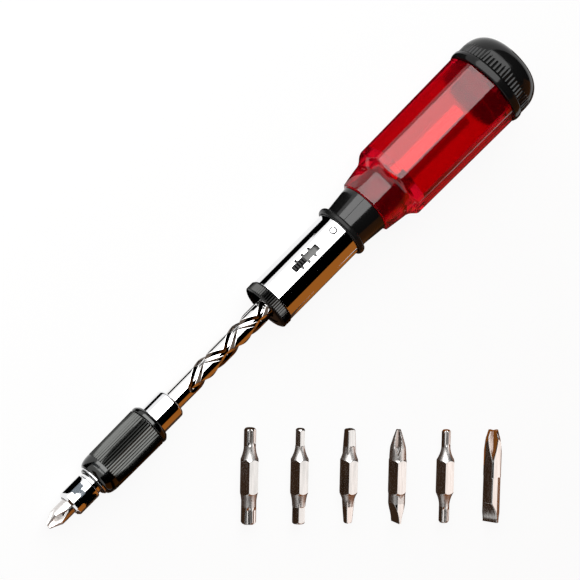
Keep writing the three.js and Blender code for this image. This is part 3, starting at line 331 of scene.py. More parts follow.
def grooved(count, grooves, depth, width):
    """Depth to take off the radius round the axis for straight V-shaped grooves."""
    phase = (turns(count) * grooves / (2 * math.pi)) % 1.0
    return depth * np.clip(1 - np.abs(phase - 0.5) / (width / 2), 0, 1)


def polygon(angles, sides, flats_r):
    share = 2 * math.pi / sides
    return flats_r / np.cos((angles + share / 2) % share - share / 2)


def soft_min(a, b, sharpness=9.0):
    """Smaller of two radii with a small rounding where they meet."""
    return -np.logaddexp(-sharpness * a, -sharpness * b) / sharpness


def coil(name, mean_r, wire_r, front, end, curls):
    """Round wire wound along the driver's axis."""
    steps, sides = 36, 10
    total = curls * steps
    verts = []
    for n in range(total + 1):
        turn = 2 * math.pi * n / steps
        middle = front + wire_r + (end - front - 2 * wire_r) * n / total
        for side in turns(sides):
            radius = mean_r + wire_r * math.cos(side)
            station = middle + wire_r * math.sin(side)
            verts.append((radius * math.cos(turn), radius * math.sin(turn), station))
    faces = [tuple(range(sides)), tuple(range(total * sides, (total + 1) * sides))]
    for n in range(total):
        for k in range(sides):
            here, after = n * sides + k, n * sides + (k + 1) % sides
            faces.append((here, after, after + sides, here + sides))
    return make_piece(name, verts, faces, DRIVER, 40.0)


def paint_rows(piece, count, first, last, material):
    """Give the faces between two rows of rings a material of their own."""
    piece.data.materials.append(material)
    other = len(piece.data.materials) - 1
    for face in piece.data.polygons:
        if first <= face.index // count < last:
            face.material_index = other


# Double-ended bits, each end drawn from its own tip
BIT_ANGLES = 144
BIT_STEP = 0.16
LOBE_FLUTE_SHARE = 0.115  # half the depth of a flute between two lobes, over the lobes' radius
LOBE_RUN_OUT = 4.6  # from the tip to where the flutes begin to run out
LOBE_RUN_OUT_CURVE = 0.16
SIX_CORNER_RATIO = 1.1547  # corner radius over flats radius
SQUARE_CORNER_RATIO = 1.33
SQUARE_TAPER = 8.0
BLADE_TAPER = 8.5
BLADE_TAPER_CURVE = 1.8
BLADE_FAR = 40.0  # stands for no limit


def cut_back(z, length, slope=1.0):
    """How much a tip's edge is chamfered at a distance z from the tip."""
    return max(0.0, length - z) * slope


def lobed(lobe_r):
    def section(angles, z):
        run_out = max(0.0, z - LOBE_RUN_OUT) ** 2 * LOBE_RUN_OUT_CURVE
        flutes = LOBE_FLUTE_SHARE * (1 - np.cos(6 * angles))
        lobes = lobe_r * (1 - flutes) + run_out
        return np.minimum(np.minimum(lobes, lobe_r), lobe_r - cut_back(z, length=0.55, slope=0.75))
    return section


def six_sided(flats_r):
    def section(angles, z):
        tip = flats_r * SIX_CORNER_RATIO - cut_back(z, length=0.6, slope=0.8)
        return np.minimum(polygon(angles, 6, flats_r), tip)
    return section


def four_sided(tip_r, root_r):
    def section(angles, z):
        flats_r = tip_r + (root_r - tip_r) * min(z / SQUARE_TAPER, 1.0)
        tip = flats_r * SQUARE_CORNER_RATIO - cut_back(z, length=0.3)
        return np.minimum(polygon(angles, 4, flats_r), tip)
    return section


def crossed(tip_r, cone_slope, body_r, wing, wing_curve, belly=0.0, turn_deg=0.0):
    """Cross point: a tapering round nose cut by four flutes that run out behind it."""
    def section(angles, z):
        angles = angles - math.radians(turn_deg)
        straight = tip_r + cone_slope * z
        nose = straight + belly * math.sin(math.pi * min(straight / body_r, 1.0))
        bar = wing + wing_curve * z ** 2
        off = np.abs((angles + math.pi / 4) % (math.pi / 2) - math.pi / 4)
        return soft_min(min(nose, body_r), bar / np.sin(np.maximum(off, 0.05)), sharpness=14.0)
    return section


def bladed(half_width, half_thick, body_r, turn_deg=0.0):
    def section(angles, z):
        face = angles - math.radians(turn_deg)
        thick = half_thick + (body_r - half_thick) * min(z / BLADE_TAPER, 1.0) ** BLADE_TAPER_CURVE
        across = half_width / np.maximum(np.abs(np.cos(face)), 1e-3)
        through = thick / np.maximum(np.abs(np.sin(face)), 1e-3)
        through = np.minimum(through, BLADE_FAR)
        return soft_min(np.minimum(across, body_r), through, sharpness=18.0)
    return section


def bit_radius(section, angles, z, neck_r):
    """Radius at a distance z from a tip; a neck wider than usual, as on the heavy bit, has no flare."""
    hexagon = polygon(angles, 6, HEX_FLATS / 2)
    if neck_r > BIT_NECK_R:
        chamfer = neck_r + max(0.0, z - 1.0)
        return np.minimum(np.minimum(section(angles, z), hexagon), chamfer)
    if z >= BIT_HEX_FRONT:
        return np.minimum(hexagon, neck_r + (z - BIT_HEX_FRONT) * BIT_SHOULDER_SLOPE)
    shape = section(angles, z)
    if z > BIT_FLARE_FRONT:
        flare = (z - BIT_FLARE_FRONT) / (BIT_HEX_FRONT - BIT_FLARE_FRONT)
        root = section(angles, BIT_FLARE_FRONT)
        root_r = (root.min() + root.max()) / 2
        shape = np.maximum(shape, root_r + (neck_r - root_r) * flare ** BIT_FLARE_CURVE)
    return np.minimum(shape, neck_r)


def double_ended_bit(name, matrix, front, rear, neck_r=BIT_NECK_R):
    angles = turns(BIT_ANGLES)
    rings = []
    for z in np.arange(0, BIT_LENGTH + BIT_STEP / 2, BIT_STEP):
        end = front if z <= BIT_LENGTH / 2 else rear
        depth = min(z, max(BIT_LENGTH - z, 0.0))
        rings.append((z, bit_radius(end, angles, depth, neck_r)))
    return skin(name, rings, BIT_ANGLES, matrix, sharp_deg=50.0)


# Driver pieces
def bit_holder():
    corners = [
        (HOLDER_MOUTH_R, HOLDER_FRONT, 0.1),
        (HOLDER_R - 0.75, HOLDER_FRONT, 0.15),
        (HOLDER_R - 0.1, HOLDER_FRONT + 0.7, 0.2),
        (HOLDER_R, HOLDER_FRONT + 0.9, 0.1),
        (HOLDER_R, HOLDER_HEAD_END - 0.4, 0.25),
        (HOLDER_R - 0.4, HOLDER_HEAD_END, 0.2),
        (HOLDER_SHANK_R, HOLDER_HEAD_END, 0.15),
        (HOLDER_SHANK_R, HOLDER_END, 0.3),
        (HOLDER_WELL_R, HOLDER_END, 0),
        (HOLDER_WELL_R, HOLDER_MOUTH_END, 0),
        (HOLDER_MOUTH_R, HOLDER_MOUTH_END, 0),
    ]
    return revolve("bit_holder_skin", corners)


def front_clip():
    corners = [
        (CLIP_BORE_R, CLIP_FRONT, 0.1),
        (CLIP_R, CLIP_FRONT, 0.2),
        (CLIP_R, CLIP_END, 0.2),
        (CLIP_BORE_R, CLIP_END, 0.1),
    ]
    return revolve("front_clip_skin", corners)


def collar_radius(z):
    share = (z - COLLAR_FRONT) / (COLLAR_END - COLLAR_FRONT)
    return COLLAR_FRONT_R + (COLLAR_REAR_R - COLLAR_FRONT_R) * share


def chuck_collar():
    knurl = grooved(COLLAR_ANGLES, COLLAR_RIDGES, COLLAR_KNURL_DEPTH, 1.0)
    nose_r = collar_radius(COLLAR_NOSE_END)
    nose_length = COLLAR_NOSE_END - COLLAR_FRONT
    rings = [(COLLAR_FRONT + 0.3, COLLAR_MOUTH_R)]
    for turn in np.linspace(0, math.pi / 2, COLLAR_NOSE_ROWS - 2):
        drop = COLLAR_NOSE_DROP * (1 - math.sin(turn))
        rings.append((COLLAR_NOSE_END - nose_length * math.cos(turn), nose_r - drop))
    rings.append((COLLAR_NOSE_END + 0.15, nose_r))
    rings.append((COLLAR_NOSE_END + 0.25, nose_r - 0.12))
    for z in np.linspace(COLLAR_NOSE_END + 0.75, COLLAR_KNURL_END - 0.2, 5):
        rings.append((z, collar_radius(z) - knurl))
    rings.append((COLLAR_KNURL_END, collar_radius(COLLAR_KNURL_END) - 0.3))
    rings.append((COLLAR_KNURL_END, COLLAR_BORE_R))
    rings.append((COLLAR_LAND_END, COLLAR_BORE_R))
    rings.append((COLLAR_LAND_END, COLLAR_LAND_R))
    return skin("chuck_collar_skin", rings, COLLAR_ANGLES, closed=True)


def collar_end_ring():
    corners = [
        (COLLAR_RING_BORE_R, COLLAR_RING_FRONT, 0),
        (COLLAR_REAR_R - 0.15, COLLAR_RING_FRONT, 0.1),
        (COLLAR_REAR_R, COLLAR_RING_FRONT + 0.2, 0.1),
        (COLLAR_REAR_R, COLLAR_END - 1.2, 0.5),
        (COLLAR_REAR_R - 1.1, COLLAR_END, 0.35),
        (COLLAR_RING_BORE_R, COLLAR_END, 0),
    ]
    return revolve("collar_end_ring_skin", corners, 160)


def chuck_body():
    corners = [
        (CHUCK_MOUTH_R, CHUCK_FRONT, 0.1),
        (CHUCK_NOSE_R, CHUCK_FRONT, 0.2),
        (CHUCK_NOSE_R, CHUCK_TAPER[0], 0),
        (CHUCK_TAIL_R, CHUCK_TAPER[1], 0),
        (CHUCK_TAIL_R, CHUCK_END - 0.8, 0.6),
        (CHUCK_TAIL_R - 0.8, CHUCK_END, 0.35),
        (SPINDLE_R + CHUCK_SOCKET_GAP, CHUCK_END, 0),
        (SPINDLE_R + CHUCK_SOCKET_GAP, CHUCK_SOCKET_FRONT, 0),
        (CHUCK_MOUTH_R, CHUCK_MOUTH_END, 0),
    ]
    return revolve("chuck_body_skin", corners, CHUCK_ANGLES)


def spiral_spindle():
    """Crossing right-hand and left-hand grooves; the mesh keeps where their sides are, as a mask for
    painted shade.
    """
    angles = turns(SPINDLE_ANGLES)
    tilt = math.atan(2 * math.pi * SPINDLE_R / SPIRAL_LEAD)
    plain = np.zeros(SPINDLE_ANGLES)
    rings = [(SPINDLE_FRONT, SPINDLE_R)]
    wall_shade = [plain]
    for z in np.arange(SPIRAL_START - GROOVE_LEAD_IN, SPINDLE_SHOULDER, SPINDLE_STEP):
        along = max(z - SPIRAL_START, 0.0)
        ahead = max(SPIRAL_START - z, 0.0)
        ease = plain
        for hand in (1, -1):
            centre = math.radians(SPIRAL_PHASE_DEG) + hand * 2 * math.pi * along / SPIRAL_LEAD
            off = (angles - centre + math.pi / 2) % math.pi - math.pi / 2
            span = np.hypot(off * SPINDLE_R * math.cos(tilt), ahead)
            flank = (GROOVE_HALF - span) / (GROOVE_HALF - GROOVE_FLOOR_HALF)
            ease = np.maximum(ease, np.clip(flank, 0, 1))
        rings.append((z, SPINDLE_R - GROOVE_DEPTH * ease))
        wall_shade.append(np.clip(8 * ease * (1 - ease), 0, 1))
    rings += [(SPINDLE_SHOULDER, SPINDLE_TAIL_R), (SPINDLE_END, SPINDLE_TAIL_R)]
    end_centres = [0, 0]
    wall_shade += [plain, plain, end_centres]
    spindle = skin("spiral_spindle_skin", rings, SPINDLE_ANGLES, sharp_deg=30.0)
    # Painted shade: how far each point lies on a groove's side, for the dark brown colour
    shade = spindle.data.attributes.new("groove_wall_shade", "FLOAT", "POINT")
    shade.data.foreach_set("value", np.concatenate(wall_shade).astype(np.float32))
    return spindle


def lock_ring():
    count = RING_RIDGES * 8
    knurl = grooved(count, RING_RIDGES, RING_KNURL_DEPTH, 1.0)
    rings = [
        (RING_FRONT, RING_BORE_R),
        (RING_FRONT, RING_R - 1.25),
        (RING_FRONT + 0.12, RING_R - 0.95),
        (RING_FRONT + 0.55, RING_R - 0.25),
        (RING_FRONT + 0.75, RING_R - 0.05 - knurl),
        (RING_END - 0.35, RING_R - knurl),
        (RING_END - 0.1, RING_R - 0.15),
        (RING_END, RING_R - 0.3),
        (RING_END, RING_BORE_R),
    ]
    return skin("lock_ring_skin", rings, count, closed=True)


def cut_away(piece, *cutters):
    for cutter in cutters:
        change = piece.modifiers.new("cut", "BOOLEAN")
        change.object = cutter
        change.solver = "EXACT"
    graph = bpy.context.evaluated_depsgraph_get()
    mesh = bpy.data.meshes.new_from_object(piece.evaluated_get(graph))
    piece.modifiers.clear()
    piece.data = mesh
    for cutter in cutters:
        bpy.data.objects.remove(cutter)
    mesh.shade_smooth()
    mesh.set_sharp_from_angle(angle=math.radians(SHARP_DEG))


def slot_cutter():
    end = SLOT_FRONT + SLOT_LENGTH
    middle = (SLOT_FRONT + end) / 2
    side = [(SLOT_FRONT, SLOT_HALF)]
    for n in (-1, 0, 1):
        z = middle + n * SLOT_PITCH
        side += [(z - NOTCH_HALF, SLOT_HALF), (z - NOTCH_TIP_HALF, SLOT_HALF + NOTCH_DEPTH)]
        side += [(z + NOTCH_TIP_HALF, SLOT_HALF + NOTCH_DEPTH), (z + NOTCH_HALF, SLOT_HALF)]
    side.append((end, SLOT_HALF))
    outline = side + [(z, -y) for z, y in reversed(side)]
    count = len(outline)
    verts = [(x, y, z) for x in (TUBE_BORE_R / 2, TUBE_R + 3) for z, y in outline]
    faces = [tuple(range(count)), tuple(range(2 * count - 1, count - 1, -1))]
    faces += [(n, (n + 1) % count, count + (n + 1) % count, count + n) for n in range(count)]
    return make_piece("slot_cutter", verts, faces, DRIVER)


def pin_cutter():
    return skin("pin_cutter", [(reach, PIN_R + PIN_GAP) for reach in PIN_HOLE], 48, PIN_FRAME)


def barrel_tube():
    corners = [
        (TUBE_BORE_R, TUBE_FRONT, 0),
        (TUBE_R, TUBE_FRONT, 0.2),
        (TUBE_R, TUBE_END, 0.2),
        (TUBE_BORE_R, TUBE_END, 0),
    ]
    tube = revolve("barrel_tube_skin", corners, 256)
    cut_away(tube, slot_cutter(), pin_cutter())
    return tube


def barrel_pin():
    rings = [(PIN_FOOT_R, PIN_R * 0.9)]
    for turn in np.linspace(1.5, 0.1, 8):
        reach = PIN_HEAD_R - PIN_HEAD_DROP * (1 - math.cos(turn))
        rings.append((reach, PIN_R * 0.92 * math.sin(turn)))
    return skin("barrel_pin_skin", rings, 64, PIN_FRAME)


def rubber_ring():
    rings = []
    for turn in turns(24):
        radius = RUBBER_MID_R + RUBBER_HALF_DEPTH * math.cos(turn)
        rings.append((RUBBER_MID + RUBBER_HALF_LENGTH * math.sin(turn), radius))
    return skin("rubber_ring_skin", rings, 160, closed=True)


def neck_ferrule():
    off = np.abs((turns(NECK_ANGLES) + math.pi) % (2 * math.pi) - math.pi)
    seam = NECK_SEAM_DEPTH * np.clip(1 - off / NECK_SEAM_HALF, 0, 1)
    rings = [(NECK_SPIGOT_FRONT, NECK_BORE_R), (NECK_SPIGOT_FRONT, NECK_SPIGOT_R)]
    rings += [(NECK_FRONT, NECK_SPIGOT_R), (NECK_FRONT, NECK_FRONT_R - 0.2)]
    for share in np.linspace(0.02, 0.985, 12):
        z = NECK_FRONT + share * (NECK_END - NECK_FRONT)
        rings.append((z, NECK_FRONT_R + (NECK_REAR_R - NECK_FRONT_R) * share - seam))
    rings += [(NECK_END, NECK_REAR_R - 0.15), (NECK_END, NECK_TAIL_R)]
    rings += [(NECK_TAIL_END, NECK_TAIL_R), (NECK_TAIL_END, NECK_BORE_R)]
    return skin("neck_ferrule_skin", rings, NECK_ANGLES, closed=True)


def grip_envelope(z):
    """Round limit of the grip: a cone at its collar, a cove, then the rounded corners of the flats."""
    if z <= GRIP_COLLAR_END:
        share = (z - GRIP_FRONT) / (GRIP_COLLAR_END - GRIP_FRONT)
        return GRIP_COLLAR_FRONT_R + (GRIP_COLLAR_REAR_R - GRIP_COLLAR_FRONT_R) * share
    corner = GRIP_CORNER_RATIO * grip_flats(max(z, GRIP_FLAT_FRONT))
    if z < GRIP_COVE_END:
        share = (z - GRIP_COLLAR_END) / (GRIP_COVE_END - GRIP_COLLAR_END)
        rise = corner - GRIP_SHOULDER_DROP - GRIP_COLLAR_REAR_R
        return GRIP_COLLAR_REAR_R + rise * share ** GRIP_COVE_CURVE
    share = min((z - GRIP_COVE_END) / GRIP_SHOULDER_LENGTH, 1.0)
    return corner - GRIP_SHOULDER_DROP * (1 - share) ** 2


def grip_flats(z):
    if z <= GRIP_COLLAR_END:
        arch = GRIP_COLLAR_FRONT_R + (GRIP_COLLAR_REAR_R - GRIP_COLLAR_FRONT_R) * GRIP_ARCH_SHARE
        flare = (arch - GRIP_COLLAR_FLATS_R) / GRIP_ARCH_LENGTH
        return GRIP_COLLAR_FLATS_R + flare * (z - GRIP_FRONT)
    share = max(z - GRIP_FLAT_FRONT, 0.0) / (GRIP_END - GRIP_FLAT_FRONT)
    return GRIP_FRONT_FLATS_R + (GRIP_REAR_FLATS_R - GRIP_FRONT_FLATS_R) * share


def grip_section(z):
    return soft_min(polygon(turns(GRIP_ANGLES), GRIP_SIDES, grip_flats(z)), grip_envelope(z))


def grip_handle():
    stations = np.concatenate([
        np.linspace(GRIP_FRONT + 0.12, GRIP_COLLAR_END, 26),
        np.linspace(GRIP_COLLAR_END + 0.05, GRIP_FLAT_FRONT + 1.2, 34),
        np.linspace(GRIP_FLAT_FRONT + 3, GRIP_END - 0.35, 8),
    ])
    rings = [(GRIP_FRONT, grip_section(GRIP_FRONT) - 0.15)]
    rings += [(z, grip_section(z)) for z in stations]
    rings.append((GRIP_END, rings[-1][1] - 0.3))
    store = np.minimum(polygon(turns(GRIP_ANGLES), GRIP_SIDES, GRIP_STORE_R), GRIP_GASKET_R)
    rings += [(GRIP_END, GRIP_GASKET_R), (GRIP_GASKET_FRONT, GRIP_GASKET_R)]
    rings += [(GRIP_GASKET_FRONT, store), (GRIP_WEB_END, store)]
    rings += [(GRIP_WEB_END, NECK_BORE_R), (GRIP_TAIL_ROOM_END, NECK_BORE_R)]
    rings += [(GRIP_TAIL_ROOM_END, GRIP_TAIL_ROOM_R), (GRIP_FRONT, GRIP_TAIL_ROOM_R)]
    return skin("grip_handle_skin", rings, GRIP_ANGLES, closed=True, sharp_deg=38.0)


def end_cap():
    count = CAP_RIBS * 10
    ribs = grooved(count, CAP_RIBS, CAP_RIB_DEPTH, 0.55)
    rings = [(CAP_SKIRT_FRONT, CAP_CUP_R), (CAP_SKIRT_FRONT, CAP_SKIRT_R), (CAP_FRONT, CAP_SKIRT_R)]
    lip = rounded([
        (CAP_SKIRT_R + 1.5, CAP_FRONT, 0),
        (CAP_RIM_R - 0.5, CAP_FRONT, 0.4),
        (CAP_RIM_R, CAP_FRONT + 1.3, 0.9),
        (CAP_RIM_R - 0.1, CAP_BAND_FRONT - 0.5, 0.5),
        (CAP_BAND_R - 0.1, CAP_BAND_FRONT - 0.1, 0),
    ])
    rings += [(z, radius) for radius, z in lip[:-1]]  # the last corner only steers the one before
    rings.append((CAP_BAND_FRONT, CAP_BAND_R - CAP_RIB_DEPTH))
    rings.append((CAP_BAND_FRONT + 0.05, CAP_BAND_R - ribs))
    rings.append((CAP_DOME_FRONT - 0.3, CAP_BAND_R - 0.05 - ribs))
    rings.append((CAP_DOME_FRONT, CAP_BAND_R - 0.1 - ribs * 0.3))
    for share in np.linspace(0.06, 1, 22):
        turn = share * math.pi / 2
        radius = CAP_FLAT_R + (CAP_BAND_R - 0.1 - CAP_FLAT_R) * math.cos(turn)
        rings.append((CAP_DOME_FRONT + (CAP_END - CAP_DOME_FRONT) * math.sin(turn), radius))
    rings += [(CAP_END, 0.02), (CAP_CUP_FLOOR, 0.02), (CAP_CUP_FLOOR, CAP_CUP_FLOOR_R)]
    rings.append((CAP_CUP_FLOOR - CAP_CUP_TAPER, CAP_CUP_R))
    return skin("end_cap_skin", rings, count, closed=True, sharp_deg=30.0)


# Materials
def surface(name, color, metallic=0.0, roughness=0.3, **more):
    material = bpy.data.materials.new(name)
    material.use_nodes = True
    shader = material.node_tree.nodes["Principled BSDF"]
    shader.inputs["Base Color"].default_value = (*color, 1)
    shader.inputs["Metallic"].default_value = metallic
    shader.inputs["Roughness"].default_value = roughness
    for key, value in more.items():
        shader.inputs[key.replace("_", " ")].default_value = value
    return material


RELIEF_DEPTH = 0.05


def add_grain(material, scale, low, high, bump=0.0, heading_deg=0.0, tint=None):
    """Fine drawn-out grain in the roughness, with a slight relief and change of colour."""
    tree = material.node_tree
    shader = tree.nodes["Principled BSDF"]
    place = tree.nodes.new("ShaderNodeTexCoord")
    mapping = tree.nodes.new("ShaderNodeMapping")
    mapping.inputs["Rotation"].default_value[2] = math.radians(-heading_deg)
    stretch = tree.nodes.new("ShaderNodeMapping")
    stretch.inputs["Scale"].default_value = scale
    noise = tree.nodes.new("ShaderNodeTexNoise")
    noise.inputs["Scale"].default_value = 1.0
    noise.inputs["Detail"].default_value = 4.0
    spread = tree.nodes.new("ShaderNodeMapRange")
    spread.inputs["From Min"].default_value = 0.3
    spread.inputs["From Max"].default_value = 0.7
    spread.inputs["To Min"].default_value = low
    spread.inputs["To Max"].default_value = high
    tree.links.new(place.outputs["Object"], mapping.inputs["Vector"])
    tree.links.new(mapping.outputs["Vector"], stretch.inputs["Vector"])
    tree.links.new(stretch.outputs["Vector"], noise.inputs["Vector"])
    tree.links.new(noise.outputs["Fac"], spread.inputs["Value"])
    tree.links.new(spread.outputs["Result"], shader.inputs["Roughness"])
    if bump:
        relief = tree.nodes.new("ShaderNodeBump")
        relief.inputs["Strength"].default_value = bump
        relief.inputs["Distance"].default_value = RELIEF_DEPTH * MM
        tree.links.new(noise.outputs["Fac"], relief.inputs["Height"])
        tree.links.new(relief.outputs["Normal"], shader.inputs["Normal"])
    if tint:
        ramp = tree.nodes.new("ShaderNodeValToRGB")
        ramp.color_ramp.elements[0].position = 0.35
        ramp.color_ramp.elements[1].position = 0.65
        ramp.color_ramp.elements[0].color = (*tint, 1)
        ramp.color_ramp.elements[1].color = shader.inputs["Base Color"].default_value
        tree.links.new(noise.outputs["Fac"], ramp.inputs["Fac"])
        tree.links.new(ramp.outputs["Color"], shader.inputs["Base Color"])
    return material


ALONG = (60, 900, 900)  # grain drawn out along X
ALONG_BIT = (90, 1400, 1400)
ALONG_LOOSE_BIT = (120, 1500, 1500)
EVEN = (700, 700, 700)
BLACK = (0.004, 0.004, 0.004)
CLEAR_RED = (0.7, 0.004, 0.02)

# Each material has its colour, metallic share and roughness, and then its grain: scale, lowest and
# highest roughness, and relief
chrome = add_grain(surface("polished_chrome", (0.86, 0.86, 0.87), 1.0, 0.05), ALONG, 0.035, 0.075)
tube_chrome = add_grain(surface("tube_chrome", (0.88, 0.88, 0.89), 1.0, 0.05), ALONG, 0.03, 0.065)
bit_steel = add_grain(surface("bit_steel", (0.70, 0.67, 0.65), 1.0, 0.25), ALONG_BIT, 0.16, 0.3, 0.25)
loose_steel = add_grain(
    surface("loose_bit_steel", (0.53, 0.515, 0.5), 1.0, 0.2),
    ALONG_LOOSE_BIT, 0.13, 0.22, 0.2, BIT_HEADING_DEG, tint=(0.43, 0.415, 0.4))
satin_steel = add_grain(
    surface("satin_bit_steel", (0.55, 0.535, 0.52), 1.0, 0.4),
    ALONG_LOOSE_BIT, 0.36, 0.44, 0.1, BIT_HEADING_DEG, tint=(0.46, 0.445, 0.43))
black_oxide = add_grain(surface("black_oxide", (0.05, 0.051, 0.049), 1.0, 0.2), EVEN, 0.16, 0.24, 0.1)
smooth_oxide = add_grain(surface("smooth_black_oxide", (0.06, 0.061, 0.06), 1.0, 0.13), EVEN, 0.1, 0.16)
gloss_black = add_grain(
    surface("gloss_black_plastic", BLACK, 0.0, 0.12, Specular_IOR_Level=0.46), EVEN, 0.1, 0.15)
cap_black = add_grain(
    surface("cap_black_plastic", BLACK, 0.0, 0.16, Specular_IOR_Level=0.24), EVEN, 0.1, 0.15, 0.05)
soft_black = add_grain(
    surface("button_black_plastic", BLACK, 0.0, 0.4, Specular_IOR_Level=0.22), EVEN, 0.34, 0.44, 0.1)
rubber = add_grain(
    surface("black_rubber", (0.005, 0.005, 0.005), 0.0, 0.25, Specular_IOR_Level=0.18),
    EVEN, 0.22, 0.3, 0.05)
red_plastic = add_grain(
    surface("clear_red_plastic", CLEAR_RED, 0.0, 0.04, Transmission_Weight=0.95, IOR=1.49),
    EVEN, 0.03, 0.05)
red_inside = add_grain(
    surface("moulded_red_bore", CLEAR_RED, 0.0, 0.2, Transmission_Weight=0.95, IOR=1.49),
    EVEN, 0.18, 0.26, 0.1)
ring_oxide = add_grain(surface("lock_ring_oxide", (0.035, 0.035, 0.034), 1.0, 0.18), EVEN, 0.14, 0.22)
slide_steel = add_grain(surface("slide_steel", (0.075, 0.075, 0.073), 0.4, 0.5), ALONG, 0.42, 0.55, 0.1)
inner_steel = add_grain(surface("inner_steel", (0.55, 0.55, 0.56), 1.0, 0.3), ALONG, 0.25, 0.38, 0.1)
spring_tube_steel = add_grain(
    surface("spring_tube_steel", (0.86, 0.86, 0.87), 1.0, 0.24), ALONG, 0.2, 0.3, 0.05)
spring_steel = add_grain(surface("spring_steel", (0.5, 0.51, 0.53), 1.0, 0.3), EVEN, 0.26, 0.36, 0.1)
nut_brass = add_grain(surface("nut_brass", (0.7, 0.52, 0.25), 1.0, 0.3), EVEN, 0.24, 0.34, 0.1)
spindle_chrome = add_grain(surface("spindle_chrome", (0.86, 0.85, 0.84), 1.0, 0.05), ALONG, 0.035, 0.075)


def paint_groove_shade(material):
    """Painted shade and painted dark reflection on the sides of the spindle's grooves: the base colour
    turns dark brown there.
    """
    tree = material.node_tree
    shader = tree.nodes["Principled BSDF"]
    wall = tree.nodes.new("ShaderNodeAttribute")
    wall.attribute_name = "groove_wall_shade"
    ramp = tree.nodes.new("ShaderNodeValToRGB")
    ramp.color_ramp.elements[0].position = 0.1
    ramp.color_ramp.elements[0].color = shader.inputs["Base Color"].default_value
    ramp.color_ramp.elements[1].position = 0.8
    ramp.color_ramp.elements[1].color = (0.13, 0.1, 0.08, 1)
    tree.links.new(wall.outputs["Fac"], ramp.inputs["Fac"])
    tree.links.new(ramp.outputs["Color"], shader.inputs["Base Color"])


# Painted shade: dark brown on the sides of the spindle's grooves
paint_groove_shade(spindle_chrome)


# Pieces that stand for CAD nodes, with the body each rides on
def dress(piece, node, body, material):
    piece.data.materials.clear()
    piece.data.materials.append(material)
    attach(piece, body)
    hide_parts(node)


cross_driver = crossed(
    tip_r=1.0, cone_slope=0.5, body_r=BIT_NECK_R, wing=0.42, wing_curve=0.024, turn_deg=77.5)
blade_behind = bladed(half_width=2.8, half_thick=0.5, body_r=BIT_NECK_R)
driver_bit = double_ended_bit("driver_bit_skin", DRIVER, cross_driver, blade_behind)
dress(driver_bit, "driver_bit", "driver_bit", bit_steel)
dress(bit_holder(), "bit_holder", "holder", chrome)
dress(front_clip(), "front_clip", "spindle", chrome)
collar = chuck_collar()
dress(collar, "chuck_collar", "collar", black_oxide)
paint_rows(collar, COLLAR_ANGLES, 0, COLLAR_NOSE_ROWS, smooth_oxide)
dress(collar_end_ring(), "collar_end_ring", "collar", smooth_oxide)
chuck = chuck_body()
dress(chuck, "chuck_body", "spindle", chrome)
# Painted shadow: the chrome chuck's nose takes the dark oxide, for the shaded gap in front of the front
# clip
paint_rows(chuck, CHUCK_ANGLES, 0, CHUCK_SHADE_ROWS, smooth_oxide)
dress(spiral_spindle(), "spiral_spindle", "spindle", spindle_chrome)
dress(lock_ring(), "lock_ring", "lock_ring", ring_oxide)
dress(barrel_tube(), "barrel_tube", "handle", tube_chrome)
dress(barrel_pin(), "barrel_pin", "handle", chrome)
dress(rubber_ring(), "rubber_ring", "handle", rubber)
dress(neck_ferrule(), "neck_ferrule", "handle", gloss_black)
grip = grip_handle()
dress(grip, "grip_handle", "handle", red_plastic)
paint_rows(grip, GRIP_ANGLES, GRIP_OUTER_ROWS, GRIP_OUTER_ROWS + GRIP_INNER_ROWS, red_inside)
return_spring = coil(
    "return_spring_skin", RETURN_SPRING_R, RETURN_SPRING_WIRE_R, *RETURN_SPRING, curls=12)
dress(return_spring, "return_spring", "handle", spring_steel)
chuck_spring = coil("chuck_spring_skin", CHUCK_SPRING_R, CHUCK_SPRING_WIRE_R, *CHUCK_SPRING, curls=4)
dress(chuck_spring, "chuck_spring", "spindle", spring_steel)
dress(end_cap(), "end_cap", "cap", cap_black)

loose_bits = {
    "lobed_bit_large": (lobed(2.15), lobed(2.72)),
    "hex_key_bit": (six_sided(1.6), six_sided(2.25)),
    "square_bit": (four_sided(1.5, 1.85), four_sided(1.15, 1.7)),
    "cross_and_blade_bit": (
        crossed(
            tip_r=0.7, cone_slope=0.36, body_r=BIT_NECK_R, wing=0.3, wing_curve=0.02, belly=0.35,
            turn_deg=-12.5),
        bladed(half_width=2.8, half_thick=0.45, body_r=BIT_NECK_R)),
    "lobed_bit_small": (lobed(1.66), lobed(1.92)),
    "heavy_cross_and_blade_bit": (
        crossed(
            tip_r=1.7, cone_slope=0.42, body_r=3.5, wing=0.42, wing_curve=0.0165, belly=0.45,
            turn_deg=-12.5),
        bladed(half_width=3.0, half_thick=0.6, body_r=HEAVY_BIT_R, turn_deg=-30)),
}
FLARES = ((BIT_FLARE_FRONT, BIT_HEX_FRONT), (BIT_HEX_END, BIT_LENGTH - BIT_FLARE_FRONT))
CROSS_FLARES = ((0.0, BIT_HEX_FRONT), (BIT_HEX_END, BLADE_FLARE_END))
for bit, (front, rear) in loose_bits.items():
    heavy = bit.startswith("heavy")
    bit_skin = double_ended_bit(
        f"{bit}_skin", bit_frame(bit), front, rear, neck_r=HEAVY_BIT_R if heavy else BIT_NECK_R)
    dress(bit_skin, bit, bit, loose_steel)
    bit_skin.visible_glossy = False
    if not heavy:
        for flare in (CROSS_FLARES if bit.startswith("cross") else FLARES):
            first, last = (round(station / BIT_STEP) for station in flare)
            paint_rows(bit_skin, BIT_ANGLES, first, last, satin_steel)

